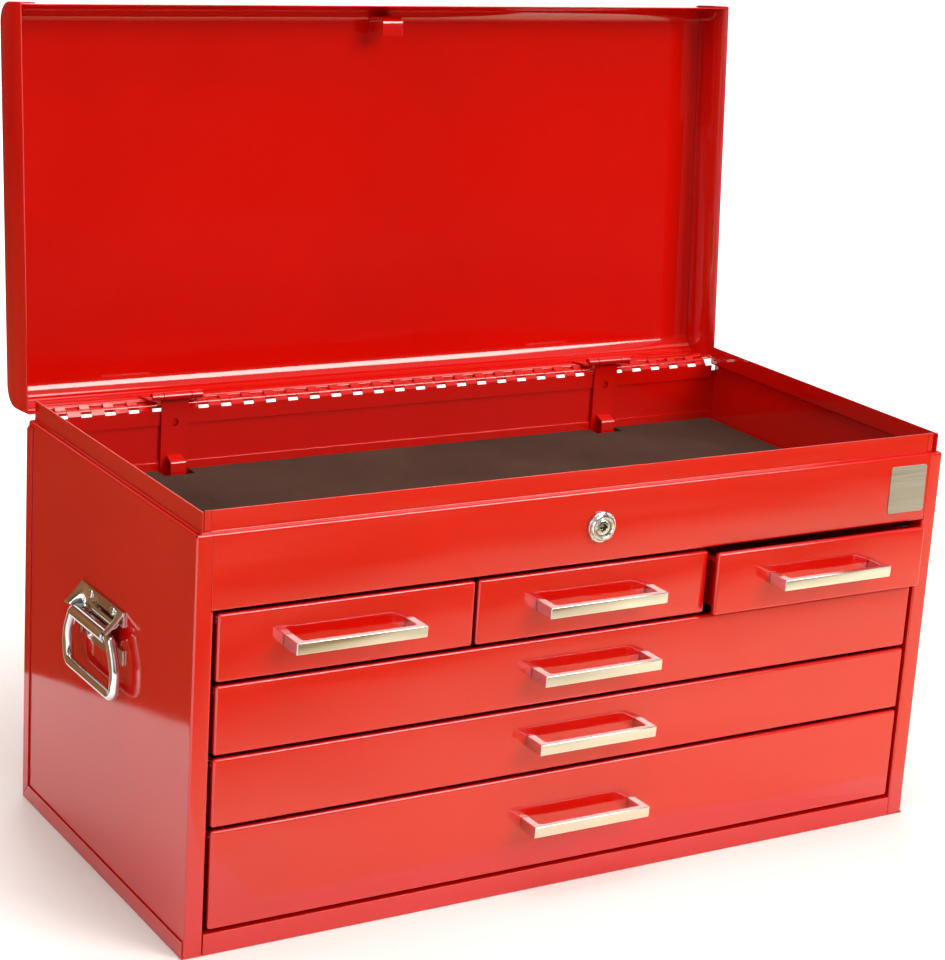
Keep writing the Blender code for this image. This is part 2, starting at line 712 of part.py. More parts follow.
def make_lock_bar(hand, side, lid_carrier):
    """Strap that the lid pushes down through the till's floor, with its bracket and link pin."""
    middle = side * BAR_X
    half = BAR_WIDTH / 2
    eye_middle = EYE_RADIUS - STRAP / 2
    eye = (LINK_CLOSED.y, LINK_CLOSED.z)
    drop = LINK_RISE + HINGE.z - LINK_CLOSED.z
    strap_y = LINK_CLOSED.y + eye_middle

    bracket_y = LEAF_Y - CLEARANCE - STRAP / 2
    bracket_foot = HINGE.z + KNUCKLE_RADIUS + SHEET
    arm_path = [(bracket_y, bracket_foot + BRACKET_HEIGHT), (bracket_y, LINK_CLOSED.z + EYE_RADIUS)]
    arm_outline = strip(arm_path + arc(eye, eye_middle, 0, -270, ROLL_STEPS), STRAP)
    lug_start = half + LUG_GAP
    lug_end = lug_start + LUG_WIDTH
    bracket = [
        box(
            (middle - lug_end, middle + lug_end),
            (bracket_y - STRAP / 2, bracket_y + STRAP / 2),
            (bracket_foot, bracket_foot + BRACKET_HEIGHT),
        )
    ]
    pin_end = middle + lug_start + LUG_WIDTH / 2
    bracket.append(cylinder("X", eye, LINK_PIN_RADIUS, 2 * middle - pin_end, pin_end, 8))
    for turn in (-1, 1):
        bracket.append(prism([arm_outline], "X", middle + turn * lug_start, middle + turn * lug_end))
        rivet = (middle + turn * (lug_start + LUG_GAP), middle + turn * (lug_end - LUG_GAP))
        bracket.append(cylinder("X", eye, EYE_RADIUS - STRAP / 2, *rivet, 8))
    add_part(hand + "_bar_bracket", joined(bracket), RED_PAINT, lid_carrier, smooth=True)

    carrier = axis_empty(hand + "_link_axis", (middle, *eye), lid_carrier)
    strap_path = [(strap_y, FLOOR_Z - BAR_BELOW_FLOOR - drop), (strap_y, LINK_CLOSED.z)]
    strap_outline = strip(strap_path + arc(eye, eye_middle, 0, 270, ROLL_STEPS)[1:], STRAP)
    strap = prism([strap_outline], "X", middle - half, middle + half)
    finger_top = FLOOR_Z + FINGER_TOP - drop
    finger_route = [
        (strap_y, finger_top),
        (strap_y - FINGER_REACH, finger_top - FINGER_SLOPE),
        (strap_y - FINGER_REACH, FLOOR_Z - FINGER_BELOW_FLOOR - drop),
    ]
    finger_path = rounded(finger_route, FINGER_CORNER, 3)
    finger_half = FINGER_WIDTH / 2
    finger = prism([strip(finger_path, STRAP)], "X", middle - finger_half, middle + finger_half)
    bar = add_part(hand + "_lock_bar", joined([strap, finger]), RED_PAINT, carrier, smooth=True)
    hole_z = LINK_CLOSED.z - BAR_HOLE_BELOW_LINK
    hole_span = (strap_y - 2 * STRAP, strap_y + 2 * STRAP)
    cut(bar, cylinder("Y", (middle, hole_z), BAR_HOLE_RADIUS, *hole_span, 12), carrier)
    return carrier


def turned(profile):
    """A piece turned about the lock's axis, from its radius and how far it stands out of the front."""
    mesh = bpy.data.meshes.new("profile")
    points = [(radius, 0, out) for radius, out in profile]
    closed = profile[0][0] > 0
    edges = [(i, i + 1) for i in range(len(points) - 1)]
    if closed:
        edges.append((len(points) - 1, 0))
    mesh.from_pydata(points, edges, [])
    profile_piece = link("profile", mesh)
    profile_piece.matrix_world = Matrix.Translation((0, FRONT_Y, LOCK_Z)) @ SWEEPS["Y"]
    spin = profile_piece.modifiers.new("turn", "SCREW")
    spin.steps = TURN_STEPS
    spin.render_steps = TURN_STEPS
    spin.use_merge_vertices = True
    spin.merge_threshold = WELD
    return as_mesh(profile_piece)


def make_lock():
    """Cam lock in the front panel: housing, nut, plug and the cam that hooks over the lid's catch."""
    housing = [
        (LOCK_BORE_RADIUS, LOCK_BEZEL_HEIGHT),
        (LOCK_BEZEL_RADIUS - LOCK_BEZEL_STEP, LOCK_BEZEL_HEIGHT),
        (LOCK_BEZEL_RADIUS, LOCK_BEZEL_HEIGHT - LOCK_BEZEL_STEP),
        (LOCK_BEZEL_RADIUS, CLEARANCE),
        (LOCK_BARREL_RADIUS, CLEARANCE),
        (LOCK_BARREL_RADIUS, -LOCK_LENGTH),
        (LOCK_BORE_RADIUS, -LOCK_LENGTH),
    ]
    nut_y = FRONT_Y + LAP
    hexagon = arc((0, LOCK_Z), NUT_ACROSS / math.sqrt(3), 0, 300, 5)
    hole = arc((0, LOCK_Z), (LOCK_BARREL_RADIUS + LOCK_BORE_RADIUS) / 2, 0, 345, TURN_STEPS - 1)
    nut = prism([hexagon, hole], "Y", nut_y, nut_y + NUT_THICKNESS)
    add_part("lock_housing", joined([turned(housing), nut]), CHROME, smooth=True)

    carrier = axis_empty("lock_axis", (0, FRONT_Y, LOCK_Z))
    plug_radius = LOCK_BORE_RADIUS - CLEARANCE
    plug_rear = LOCK_LENGTH + CLEARANCE + SHEET
    plug = turned([(0, LOCK_BEZEL_HEIGHT), (plug_radius, LOCK_BEZEL_HEIGHT), (plug_radius, -plug_rear), (0, -plug_rear)])
    plug = add_part("lock_plug", plug, CHROME, carrier, smooth=True)
    keyway_y = FRONT_Y - LOCK_BEZEL_HEIGHT
    keyway = box(
        (-KEYWAY_WIDTH / 2, KEYWAY_WIDTH / 2),
        (keyway_y - SHEET, keyway_y + KEYWAY_DEPTH),
        (LOCK_Z - KEYWAY_HEIGHT / 2, LOCK_Z + KEYWAY_HEIGHT / 2),
    )
    cut(plug, keyway, carrier)

    arm = box(
        (-CAM_TAIL, CAM_LENGTH + CAM_THICKNESS),
        (CAM_Y, CAM_Y + CAM_THICKNESS),
        (LOCK_Z - CAM_WIDTH / 2, LOCK_Z + CAM_WIDTH / 2),
    )
    tongue = box(
        (CAM_LENGTH, CAM_LENGTH + CAM_THICKNESS),
        (CAM_Y - TONGUE_REACH, CAM_Y + CAM_THICKNESS / 2),
        (LOCK_Z - TONGUE_WIDTH / 2, LOCK_Z + TONGUE_WIDTH / 2),
    )
    add_part("lock_cam", joined([arm, tongue]), ZINC, carrier)


def make_handle(hand, side):
    """Carrying handle: a stamped plate with a rolled nose and a hood at each end, and the wire bail in it."""
    wall = WALL_X + CLEARANCE + PLATE_SHEET / 2
    pivot_x = WALL_X + BAIL_OUT
    nose = BAIL_RADIUS + BAIL_PLAY + PLATE_SHEET / 2
    top = HANDLE_HEIGHT + PLATE_HEIGHT / 2
    foot = HANDLE_HEIGHT - PLATE_HEIGHT / 2
    upper = rounded([(wall, top), (wall, HANDLE_HEIGHT + nose), (pivot_x, HANDLE_HEIGHT + nose)], PLATE_BEND, BAIL_STEPS)
    lower = rounded([(pivot_x, HANDLE_HEIGHT - nose), (wall, HANDLE_HEIGHT - nose), (wall, foot)], PLATE_BEND, BAIL_STEPS)
    path = upper[:-1] + arc((pivot_x, HANDLE_HEIGHT), nose, 90, -90, ROLL_STEPS) + lower[1:]
    hood_foot = HANDLE_HEIGHT + nose
    hood_rise = top - PLATE_SHEET / 2 - hood_foot
    hood_reach = pivot_x + nose - wall
    hood = [(wall + hood_reach * out, hood_foot + hood_rise * up) for out, up in arc((0, 0), 1, 90, 0, BAIL_STEPS)]
    half = PLATE_LENGTH / 2
    nose_half = NOSE_LENGTH / 2
    sections = []
    for route, start, end in (
        (path, -nose_half, nose_half),
        ([(wall, foot), (wall, HANDLE_HEIGHT - nose - PLATE_BEND)], -half, half),
        ([(wall, HANDLE_HEIGHT + nose + PLATE_BEND), (wall, top)], -half, half),
        (hood, HOOD_LAP - half, HOOD_LAP - nose_half),
        (hood, nose_half - HOOD_LAP, half - HOOD_LAP),
    ):
        outline = [(side * x, z) for x, z in strip(route, PLATE_SHEET)]
        sections.append(prism([outline], "Y", start, end))
    plate = add_part(hand + "_handle_plate", joined(sections), CHROME, smooth=True)
    window_x = (wall + PLATE_BEND + pivot_x) / 2
    window = box(
        (side * (window_x - WINDOW_WIDTH / 2), side * (window_x + WINDOW_WIDTH / 2)),
        (-WINDOW_LENGTH / 2, WINDOW_LENGTH / 2),
        (HANDLE_HEIGHT + BAIL_RADIUS, top),
    )
    cut(plate, window)

    leg = [(BAIL_TOP_SPAN / 2, 0), (BAIL_SPAN / 2, -BAIL_DROP / 2), (BAIL_FOOT_SPAN / 2, -BAIL_DROP)]
    leg = rounded(leg, BAIL_BOW, BAIL_STEPS)
    shoulder = rounded([(BAIL_TOP_SPAN / 2 - BAIL_STUB, 0), *leg[:2]], BAIL_CORNER, BAIL_STEPS)
    elbow = rounded([*leg[-2:], (0, -BAIL_DROP)], BAIL_CORNER, BAIL_STEPS)
    half_route = shoulder[:-1] + leg[1:-1] + elbow[1:-1]
    wire = bpy.data.curves.new("wire", "CURVE")
    wire.dimensions = "3D"
    wire.bevel_depth = BAIL_RADIUS
    wire.bevel_resolution = 2
    wire.use_fill_caps = True
    points = half_route + [Vector((-y, z)) for y, z in half_route[::-1]]
    spline = wire.splines.new("POLY")
    spline.points.add(len(points) - 1)
    for point, (y, z) in zip(spline.points, points):
        point.co = (0, y, z, 1)
    bail = link("wire", wire)
    bail.location = (side * pivot_x, 0, HANDLE_HEIGHT)
    carrier = axis_empty(hand + "_bail_axis", bail.location)
    add_part(hand + "_bail", as_mesh(bail), CHROME, carrier, smooth=True)


def main():
    """Builds the chest shut, then opens the lid on its hinge with the lock bars still upright."""
    make_bottom_pan()
    make_back_panel()
    make_side_panel("left_side_panel", -1)
    make_side_panel("right_side_panel", 1)
    make_front_panel()
    make_till_floor()
    make_till_liner()
    make_divider("left_divider", -1)
    make_divider("right_divider", 1)
    make_drawers()
    make_lock()
    make_handle("left", -1)
    make_handle("right", 1)
    lid_axis = axis_empty("lid_axis", HINGE)
    make_lid(lid_axis)
    make_hinge(lid_axis)
    link_axes = [make_lock_bar(hand, side, lid_axis) for hand, side in (("left", -1), ("right", 1))]
    lid_axis.rotation_euler.x = -LID_OPEN
    for link_axis in link_axes:
        link_axis.rotation_euler.x = LID_OPEN


for leftover in list(bpy.data.objects):
    bpy.data.objects.remove(leftover)
CHEST = bpy.data.collections.new("tool_chest")
CUTTERS = bpy.data.collections.new("cutters")
for group in (CHEST, CUTTERS):
    bpy.context.scene.collection.children.link(group)
main()
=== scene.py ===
"""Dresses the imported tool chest: folded and rounded sheet, gloss paint, chrome, foam and a studio stage."""

import json
import math

import bmesh
import bpy
from mathutils import Matrix, Vector


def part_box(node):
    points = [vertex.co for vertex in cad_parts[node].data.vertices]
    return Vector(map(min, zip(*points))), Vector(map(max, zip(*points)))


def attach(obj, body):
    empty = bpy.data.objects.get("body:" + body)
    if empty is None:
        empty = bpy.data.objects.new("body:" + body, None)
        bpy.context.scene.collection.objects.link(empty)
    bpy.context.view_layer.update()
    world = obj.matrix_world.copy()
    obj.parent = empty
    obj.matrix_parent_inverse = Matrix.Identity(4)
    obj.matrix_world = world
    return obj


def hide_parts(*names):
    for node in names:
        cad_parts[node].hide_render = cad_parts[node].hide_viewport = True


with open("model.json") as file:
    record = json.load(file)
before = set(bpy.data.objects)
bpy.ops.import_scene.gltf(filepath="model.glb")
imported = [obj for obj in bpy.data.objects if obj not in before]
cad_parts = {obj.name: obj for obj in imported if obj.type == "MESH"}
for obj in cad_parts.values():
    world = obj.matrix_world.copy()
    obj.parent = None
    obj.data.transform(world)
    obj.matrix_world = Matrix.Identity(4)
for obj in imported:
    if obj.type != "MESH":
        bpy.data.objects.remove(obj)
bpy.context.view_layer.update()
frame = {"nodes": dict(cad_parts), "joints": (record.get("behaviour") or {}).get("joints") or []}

bl_info = {
    "name": "Tool chest",
    "version": (1, 0, 0),
    "blender": (4, 5, 0),
    "location": "View3D > Sidebar > Tool Chest",
    "description": "Builds the visible pieces of a painted steel tool chest over its solids",
    "category": "Object",
}

DRAWERS = ("deep_drawer", "lower_drawer", "upper_drawer", "left_drawer", "middle_drawer", "right_drawer")
JOINTS = {joint["name"]: joint for joint in frame["joints"]}
HINGE = Vector(JOINTS["lid_hinge"]["pos_m"])
LID_OPEN = math.radians(JOINTS["lid_hinge"]["range_deg"][1])
LID_TURN = Matrix.Translation(HINGE) @ Matrix.Rotation(-LID_OPEN, 4, "X") @ Matrix.Translation(-HINGE)
BAIL_PIVOT = Vector(JOINTS["right_bail_swing"]["pos_m"])
LOCK = Vector(JOINTS["lock_turn"]["pos_m"])
WALL_LOW, WALL_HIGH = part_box("right_side_panel")
PANEL_LOW, PANEL_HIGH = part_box("front_panel")
FRONT_Y = PANEL_LOW.y
LIP_Z = PANEL_HIGH.z
FORWARD = Vector((0, -1, 0))
RIGHT = Vector((1, 0, 0))
HANDLE_SHEET = 0.0015

PAINT = "red_gloss_paint"
CHROME = "bright_chrome"
ZINC = "dull_zinc"
# Near-black finish of the keyway slab: painted shade in place of the slot's hollow.
KEYWAY_SHADE = "keyway_painted_shade"
BRUSHED = "brushed_plate"
FOAM = "liner_foam"


def closed_box(node):
    """The lowest and highest corners of one of the lid's solids with the lid shut."""
    back = LID_TURN.inverted()
    points = [back @ vert.co for vert in frame["nodes"][node].data.vertices]
    return tuple(Vector([pick(p[axis] for p in points) for axis in range(3)]) for pick in (min, max))


class ToolChestSizes(bpy.types.PropertyGroup):
    """Sizes of the folds and edges that the solids leave plain."""

    sheet: bpy.props.FloatProperty(
        name="Sheet",
        description="Thickness of the sheet steel",
        default=0.001,
        unit="LENGTH",
    )
    fold: bpy.props.FloatProperty(
        name="Fold",
        description="Outer radius of a fold in the sheet",
        default=0.0018,
        unit="LENGTH",
    )
    front_fold: bpy.props.FloatProperty(
        name="Drawer edge",
        description="Outer radius round a drawer front",
        default=0.0020,
        unit="LENGTH",
    )
    edge: bpy.props.FloatProperty(
        name="Edge",
        description="Rounding on a cut edge of sheet",
        default=0.00025,
        unit="LENGTH",
    )
    ledge: bpy.props.FloatProperty(
        name="Ledge",
        description="Height of the ledge round the till",
        default=LIP_Z - 0.0154,
        unit="LENGTH",
    )
    lip_inset: bpy.props.FloatProperty(
        name="Lip inset",
        description="How far the lip stands in from the front",
        default=0.0048,
        unit="LENGTH",
    )
    notch: bpy.props.FloatProperty(
        name="Corner notch",
        description="Gap where two lips meet at a corner",
        default=0.0025,
        unit="LENGTH",
    )
    nose_length: bpy.props.FloatProperty(
        name="Handle nose",
        description="Length of the rolled nose on a handle plate",
        default=0.059,
        unit="LENGTH",
    )
    knuckle: bpy.props.FloatProperty(
        name="Knuckle",
        description="Outer radius of a hinge knuckle",
        default=0.0022,
        unit="LENGTH",
    )
    hinge_notch: bpy.props.FloatProperty(
        name="Hinge notch",
        description="From the hinge's axis to the edge of a leaf",
        default=0.0036,
        unit="LENGTH",
    )
    hinge_lip: bpy.props.FloatProperty(
        name="Hinge lip",
        description="Height over the pin of the fold along the upper leaf",
        default=0.0029,
        unit="LENGTH",
    )
    strap: bpy.props.FloatProperty(
        name="Bar strap",
        description="Thickness of a lock bar",
        default=0.0014,
        unit="LENGTH",
    )
    eye: bpy.props.FloatProperty(
        name="Bar eye",
        description="Outer radius of a lock bar's eye",
        default=0.0034,
        unit="LENGTH",
    )
    finger_top: bpy.props.FloatProperty(
        name="Finger top",
        description="Height of the top of a lock bar's finger",
        default=0.2775,
        unit="LENGTH",
    )
    lid_bend: bpy.props.FloatProperty(
        name="Lid bend",
        description="Outer radius along the lid's front and back",
        default=0.016,
        unit="LENGTH",
    )


class ToolChestColours(bpy.types.PropertyGroup):
    """Colours of the finishes."""

    paint: bpy.props.FloatVectorProperty(
        name="Paint",
        description="Gloss paint",
        default=(0.64, 0.004, 0.001),
        subtype="COLOR",
        min=0,
        max=1,
    )
    chrome: bpy.props.FloatVectorProperty(
        name="Chrome",
        description="Plated handles and pulls",
        default=(0.72, 0.73, 0.73),
        subtype="COLOR",
        min=0,
        max=1,
    )
    zinc: bpy.props.FloatVectorProperty(
        name="Zinc",
        description="Runners, pins and the lock's cam",
        default=(0.55, 0.54, 0.50),
        subtype="COLOR",
        min=0,
        max=1,
    )
    foam: bpy.props.FloatVectorProperty(
        name="Foam",
        description="Till liner",
        default=(0.056, 0.029, 0.018),
        subtype="COLOR",
        min=0,
        max=1,
    )
    floor: bpy.props.FloatVectorProperty(
        name="Floor",
        description="Pale studio floor",
        default=(0.90, 0.895, 0.885),
        subtype="COLOR",
        min=0,
        max=1,
    )


def sizes():
    """The size settings."""
    return bpy.context.scene.tool_chest_sizes


def colours():
    """The colour settings."""
    return bpy.context.scene.tool_chest_colours


# Outlines and meshes


def strip(path, thickness):
    """The outline of a bent strip, from the path through the middle of its thickness."""
    points = [Vector(point) for point in path]
    runs = [(b - a).normalized() for a, b in zip(points, points[1:])]
    normals = [Vector((-run.y, run.x)) for run in runs]
    one_side, other_side = [], []
    for before, after, point in zip(normals[:1] + normals, normals + normals[-1:], points):
        offset = (before + after) * (thickness / 2 / (1 + before.dot(after)))
        one_side.append(point + offset)
        other_side.append(point - offset)
    return one_side + other_side[::-1]


def arc(centre, radius, start, end, steps):
    """Points on an arc, with angles in degrees from the outline's first axis."""
    angles = [math.radians(start + (end - start) * i / steps) for i in range(steps + 1)]
    return [Vector(centre) + radius * Vector((math.cos(a), math.sin(a))) for a in angles]


def rounded(corners, radius, steps=6):
    """A path through corners, with a radius at each one between the ends."""
    points = [Vector(corner) for corner in corners]
    path = [points[0]]
    for before, corner, after in zip(points, points[1:], points[2:]):
        back = (before - corner).normalized()
        on = (after - corner).normalized()
        half = back.angle(on) / 2
        centre = corner + (back + on).normalized() * radius / math.sin(half)
        start = corner + back * radius / math.tan(half) - centre
        end = corner + on * radius / math.tan(half) - centre
        turn = -start.angle_signed(end)
        path += [centre + Matrix.Rotation(turn * i / steps, 2) @ start for i in range(steps + 1)]
    return path + [points[-1]]


def rolled_edge(radius, steps=6):
    """The inset and depth of points on a quarter-round edge, from the face to the side."""
    angles = [math.pi / 2 * i / steps for i in range(steps + 1)]
    return [(radius * (1 - math.sin(a)), radius * (1 - math.cos(a))) for a in angles]


def rounded_rectangle(low, high, radius, steps=4):
    """Points round a rectangle with rounded corners."""
    points = []
    for centre, start in (
        ((high[0] - radius, high[1] - radius), 0),
        ((low[0] + radius, high[1] - radius), 90),
        ((low[0] + radius, low[1] + radius), 180),
        ((high[0] - radius, low[1] + radius), 270),
    ):
        points += arc(centre, radius, start, start + 90, steps)
    return points


def sweep(bm, outline, axis, low, high):
    """Adds a closed outline swept along an axis, with both ends filled."""
    rings = []
    for along in (low, high):
        ring = []
        for across, up in outline:
            place = {"X": (along, across, up), "Y": (across, along, up), "Z": (across, up, along)}[axis]
            ring.append(place)
        rings.append(ring)
    loft(bm, rings)


def bridge(bm, rings, closed=True):
    """Joins rings of points, one to the next, with faces."""
    made = [[bm.verts.new(point) for point in ring] for ring in rings]
    for one, two in zip(made, made[1:]):
        for i in range(0 if closed else 1, len(one)):
            bm.faces.new((one[i - 1], one[i], two[i], two[i - 1]))
    return made


def loft(bm, rings):
    """Joins closed rings and fills the first and the last."""
    made = bridge(bm, rings)
    bm.faces.new(made[0])
    bm.faces.new(made[-1])


def tube(bm, path, radius, sides):
    """Adds a round bar along a path, with flat ends."""
    points = [Vector(point) for point in path]
    rings = []
    for i, point in enumerate(points):
        run = (points[min(i + 1, len(points) - 1)] - points[max(i - 1, 0)]).normalized()
        up = run.cross(RIGHT).normalized()
        ring = []
        for k in range(sides):
            angle = 2 * math.pi * k / sides
            ring.append(point + radius * (math.cos(angle) * RIGHT + math.sin(angle) * up))
        rings.append(ring)
    loft(bm, rings)


def turned(bm, profile, centre, out, steps=48):
    """Adds a piece turned about an axis through a point, from its radius and height along the axis."""
    turn = out.to_track_quat("Z", "Y").to_matrix()
    rings = []
    for radius, height in profile:
        ring = []
        for k in range(steps):
            angle = 2 * math.pi * k / steps
            spot = Vector((radius * math.cos(angle), radius * math.sin(angle), height))
            ring.append(Vector(centre) + turn @ spot)
        rings.append(ring)
    loft(bm, rings)


def built(make, *values, left=False):
    """A new mesh that a function fills, mirrored for a left-hand piece."""
    bm = bmesh.new()
    make(bm, *values)
    if left:
        for vert in bm.verts:
            vert.co.x = -vert.co.x
    return bm


def placed(name, bm):
    """A smooth object made of a mesh, in the scene."""
    bmesh.ops.recalc_face_normals(bm, faces=bm.faces)
    mesh = bpy.data.meshes.new(name)
    bm.to_mesh(mesh)
    bm.free()
    mesh.shade_smooth()
    obj = bpy.data.objects.new(name, mesh)
    bpy.context.scene.collection.objects.link(obj)
    return obj


def piece(name, bm, coat, body, nodes=(), edge=None, wall=0, turn=None):
    """Makes a piece of a mesh, with its finish, its edges rounded and its body to ride on."""
    if turn:
        bmesh.ops.transform(bm, matrix=turn, verts=bm.verts)
    obj = placed(name, bm)
    obj.data.set_sharp_from_angle(angle=math.radians(35))
    obj.data.materials.append(finish(coat))
    if wall:
        shell = obj.modifiers.new("sheet", "SOLIDIFY")
        shell.thickness = wall
        shell.offset = -1
        shell.use_even_offset = True
    width = sizes().edge if edge is None else edge
    if width:
        soften(obj, width)
    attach(obj, body)
    if nodes:
        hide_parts(*nodes)
    return obj


def soften(obj, width):
    """Rounds an object's hard edges."""
    bevel = obj.modifiers.new("edges", "BEVEL")
    bevel.width = width
    bevel.segments = 2
    bevel.limit_method = "ANGLE"
    bevel.angle_limit = math.radians(50)
    bevel.harden_normals = True


# Finishes


def new_material(name):
    """A material, with its node tree, its shader's sockets and its object coordinates."""
    material = bpy.data.materials.new(name)
    material.use_nodes = True
    tree = material.node_tree
    place = tree.nodes.new("ShaderNodeTexCoord")
    return material, tree, tree.nodes["Principled BSDF"].inputs, place.outputs["Object"]


def noise(tree, place, scale, detail=2.0, roughness=0.5):
    """A noise texture over an object's own coordinates."""
    texture = tree.nodes.new("ShaderNodeTexNoise")
    texture.inputs["Scale"].default_value = scale
    texture.inputs["Detail"].default_value = detail
    texture.inputs["Roughness"].default_value = roughness
    tree.links.new(place, texture.inputs["Vector"])
    return texture.outputs["Fac"]


def spread(tree, value, low, high, from_low=0.3, from_high=0.7):
    """A value spread over a range."""
    node = tree.nodes.new("ShaderNodeMapRange")
    node.inputs["From Min"].default_value = from_low
    node.inputs["From Max"].default_value = from_high
    node.inputs["To Min"].default_value = low
    node.inputs["To Max"].default_value = high
    tree.links.new(value, node.inputs["Value"])
    return node.outputs["Result"]


def shade(tree, fac, dark, light):
    """A colour between two by a value."""
    mix = tree.nodes.new("ShaderNodeMix")
    mix.data_type = "RGBA"
    mix.inputs["A"].default_value = (*dark, 1)
    mix.inputs["B"].default_value = (*light, 1)
    tree.links.new(fac, mix.inputs["Factor"])
    return mix.outputs["Result"]


def varied(tree, fac, colour, darker, lighter):
    """A colour that goes by a value from a darker to a lighter share of it."""
    dark = [min(1, channel * darker) for channel in colour]
    light = [min(1, channel * lighter) for channel in colour]
    return shade(tree, fac, dark, light)


def bumped(tree, height, distance, strength, under=None):
    """A bump from a height, over another bump."""
    bump = tree.nodes.new("ShaderNodeBump")
    bump.inputs["Distance"].default_value = distance
    bump.inputs["Strength"].default_value = strength
    tree.links.new(height, bump.inputs["Height"])
    if under:
        tree.links.new(under, bump.inputs["Normal"])
    return bump.outputs["Normal"]


def combined(tree, operation, first, second, clamp=False):
    """Two values put together by one Math node."""
    node = tree.nodes.new("ShaderNodeMath")
    node.operation = operation
    node.use_clamp = clamp
    tree.links.new(first, node.inputs[0])
    tree.links.new(second, node.inputs[1])
    return node.outputs["Value"]


def seen(tree, value):
    """A value kept only for what the camera sees, straight or through gloss or glass."""
    rays = tree.nodes.new("ShaderNodeLightPath").outputs
    total = combined(tree, "ADD", rays["Is Camera Ray"], rays["Is Glossy Ray"], clamp=True)
    total = combined(tree, "ADD", total, rays["Is Transmission Ray"], clamp=True)
    return combined(tree, "MULTIPLY", total, value, clamp=True)


def gloss_paint():
    """Sprayed gloss paint: faint flow in its colour, haze, soft waves of the sheet and orange peel."""
    material, tree, sockets, place = new_material(PAINT)
    flow = spread(tree, noise(tree, place, scale=5.0, detail=3.0), 0, 1)
    tree.links.new(varied(tree, flow, colours().paint, 0.94, 1.05), sockets["Base Color"])
    haze = noise(tree, place, scale=14.0, detail=4.0)
    tree.links.new(spread(tree, haze, 0.05, 0.09), sockets["Roughness"])
    waves = bumped(tree, noise(tree, place, scale=9.0, detail=1.0), distance=0.004, strength=0.10)
    peel = bumped(tree, noise(tree, place, scale=700.0), distance=0.0002, strength=0.05, under=waves)
    tree.links.new(peel, sockets["Normal"])
    sockets["IOR"].default_value = 1.5
    sockets["Specular IOR Level"].default_value = 0.9
    return material


def plated(name, colour, low, high, scale):
    """Plated metal, with its gloss broken by faint wipe marks."""
    material, tree, sockets, place = new_material(name)
    marks = noise(tree, place, scale, detail=4.0)
    tree.links.new(spread(tree, marks, low, high), sockets["Roughness"])
    tone = spread(tree, noise(tree, place, scale / 3), 0, 1)
    tree.links.new(varied(tree, tone, colour, 0.9, 1.04), sockets["Base Color"])
    fine = bumped(tree, noise(tree, place, scale * 12), distance=0.00008, strength=0.06)
    tree.links.new(fine, sockets["Normal"])
    sockets["Metallic"].default_value = 1.0
    return material


def brushed_plate():
    """Brushed aluminium, streaked along its length."""
    material, tree, sockets, place = new_material(BRUSHED)
    stretch = tree.nodes.new("ShaderNodeMapping")
    stretch.inputs["Scale"].default_value = (20, 900, 900)
    tree.links.new(place, stretch.inputs["Vector"])
    streak = noise(tree, stretch.outputs["Vector"], scale=1.0, detail=3.0)
    tree.links.new(shade(tree, streak, (0.40, 0.40, 0.39), (0.62, 0.62, 0.61)), sockets["Base Color"])
    tree.links.new(spread(tree, streak, 0.32, 0.46), sockets["Roughness"])
    tree.links.new(bumped(tree, streak, distance=0.0001, strength=0.15), sockets["Normal"])
    sockets["Metallic"].default_value = 1.0
    return material


def foam():
    """Dark foam mat, with pores, pressed patches and scuffs."""
    material, tree, sockets, place = new_material(FOAM)
    cloud = noise(tree, place, scale=11.0, detail=6.0, roughness=0.65)
    scuffs = spread(tree, cloud, 0, 1)
    tree.links.new(varied(tree, scuffs, colours().foam, 0.62, 1.25), sockets["Base Color"])
    tree.links.new(spread(tree, cloud, 0.82, 0.95), sockets["Roughness"])
    pores = tree.nodes.new("ShaderNodeTexVoronoi")
    pores.inputs["Scale"].default_value = 900.0
    tree.links.new(place, pores.inputs["Vector"])
    dents = bumped(tree, noise(tree, place, scale=60.0, detail=4.0), distance=0.0012, strength=0.35)
    pitted = bumped(tree, pores.outputs["Distance"], distance=0.0006, strength=0.5, under=dents)
    tree.links.new(pitted, sockets["Normal"])
    sockets["Specular IOR Level"].default_value = 0.3
    return material


def finish(name):
    """A finish by name, made the first time that it is asked for."""
    found = bpy.data.materials.get(name)
    if found:
        return found
    makers = {
        PAINT: gloss_paint,
        CHROME: lambda: plated(CHROME, colours().chrome, low=0.05, high=0.12, scale=40.0),
        ZINC: lambda: plated(ZINC, colours().zinc, low=0.28, high=0.42, scale=90.0),
        # Near-black metal for the keyway slab: painted shade standing in for the slot's hollow.
        KEYWAY_SHADE: lambda: plated(KEYWAY_SHADE, (0.03, 0.028, 0.026), low=0.3, high=0.5, scale=200.0),
        BRUSHED: brushed_plate,
        FOAM: foam,
    }
    return makers[name]()


# Pieces


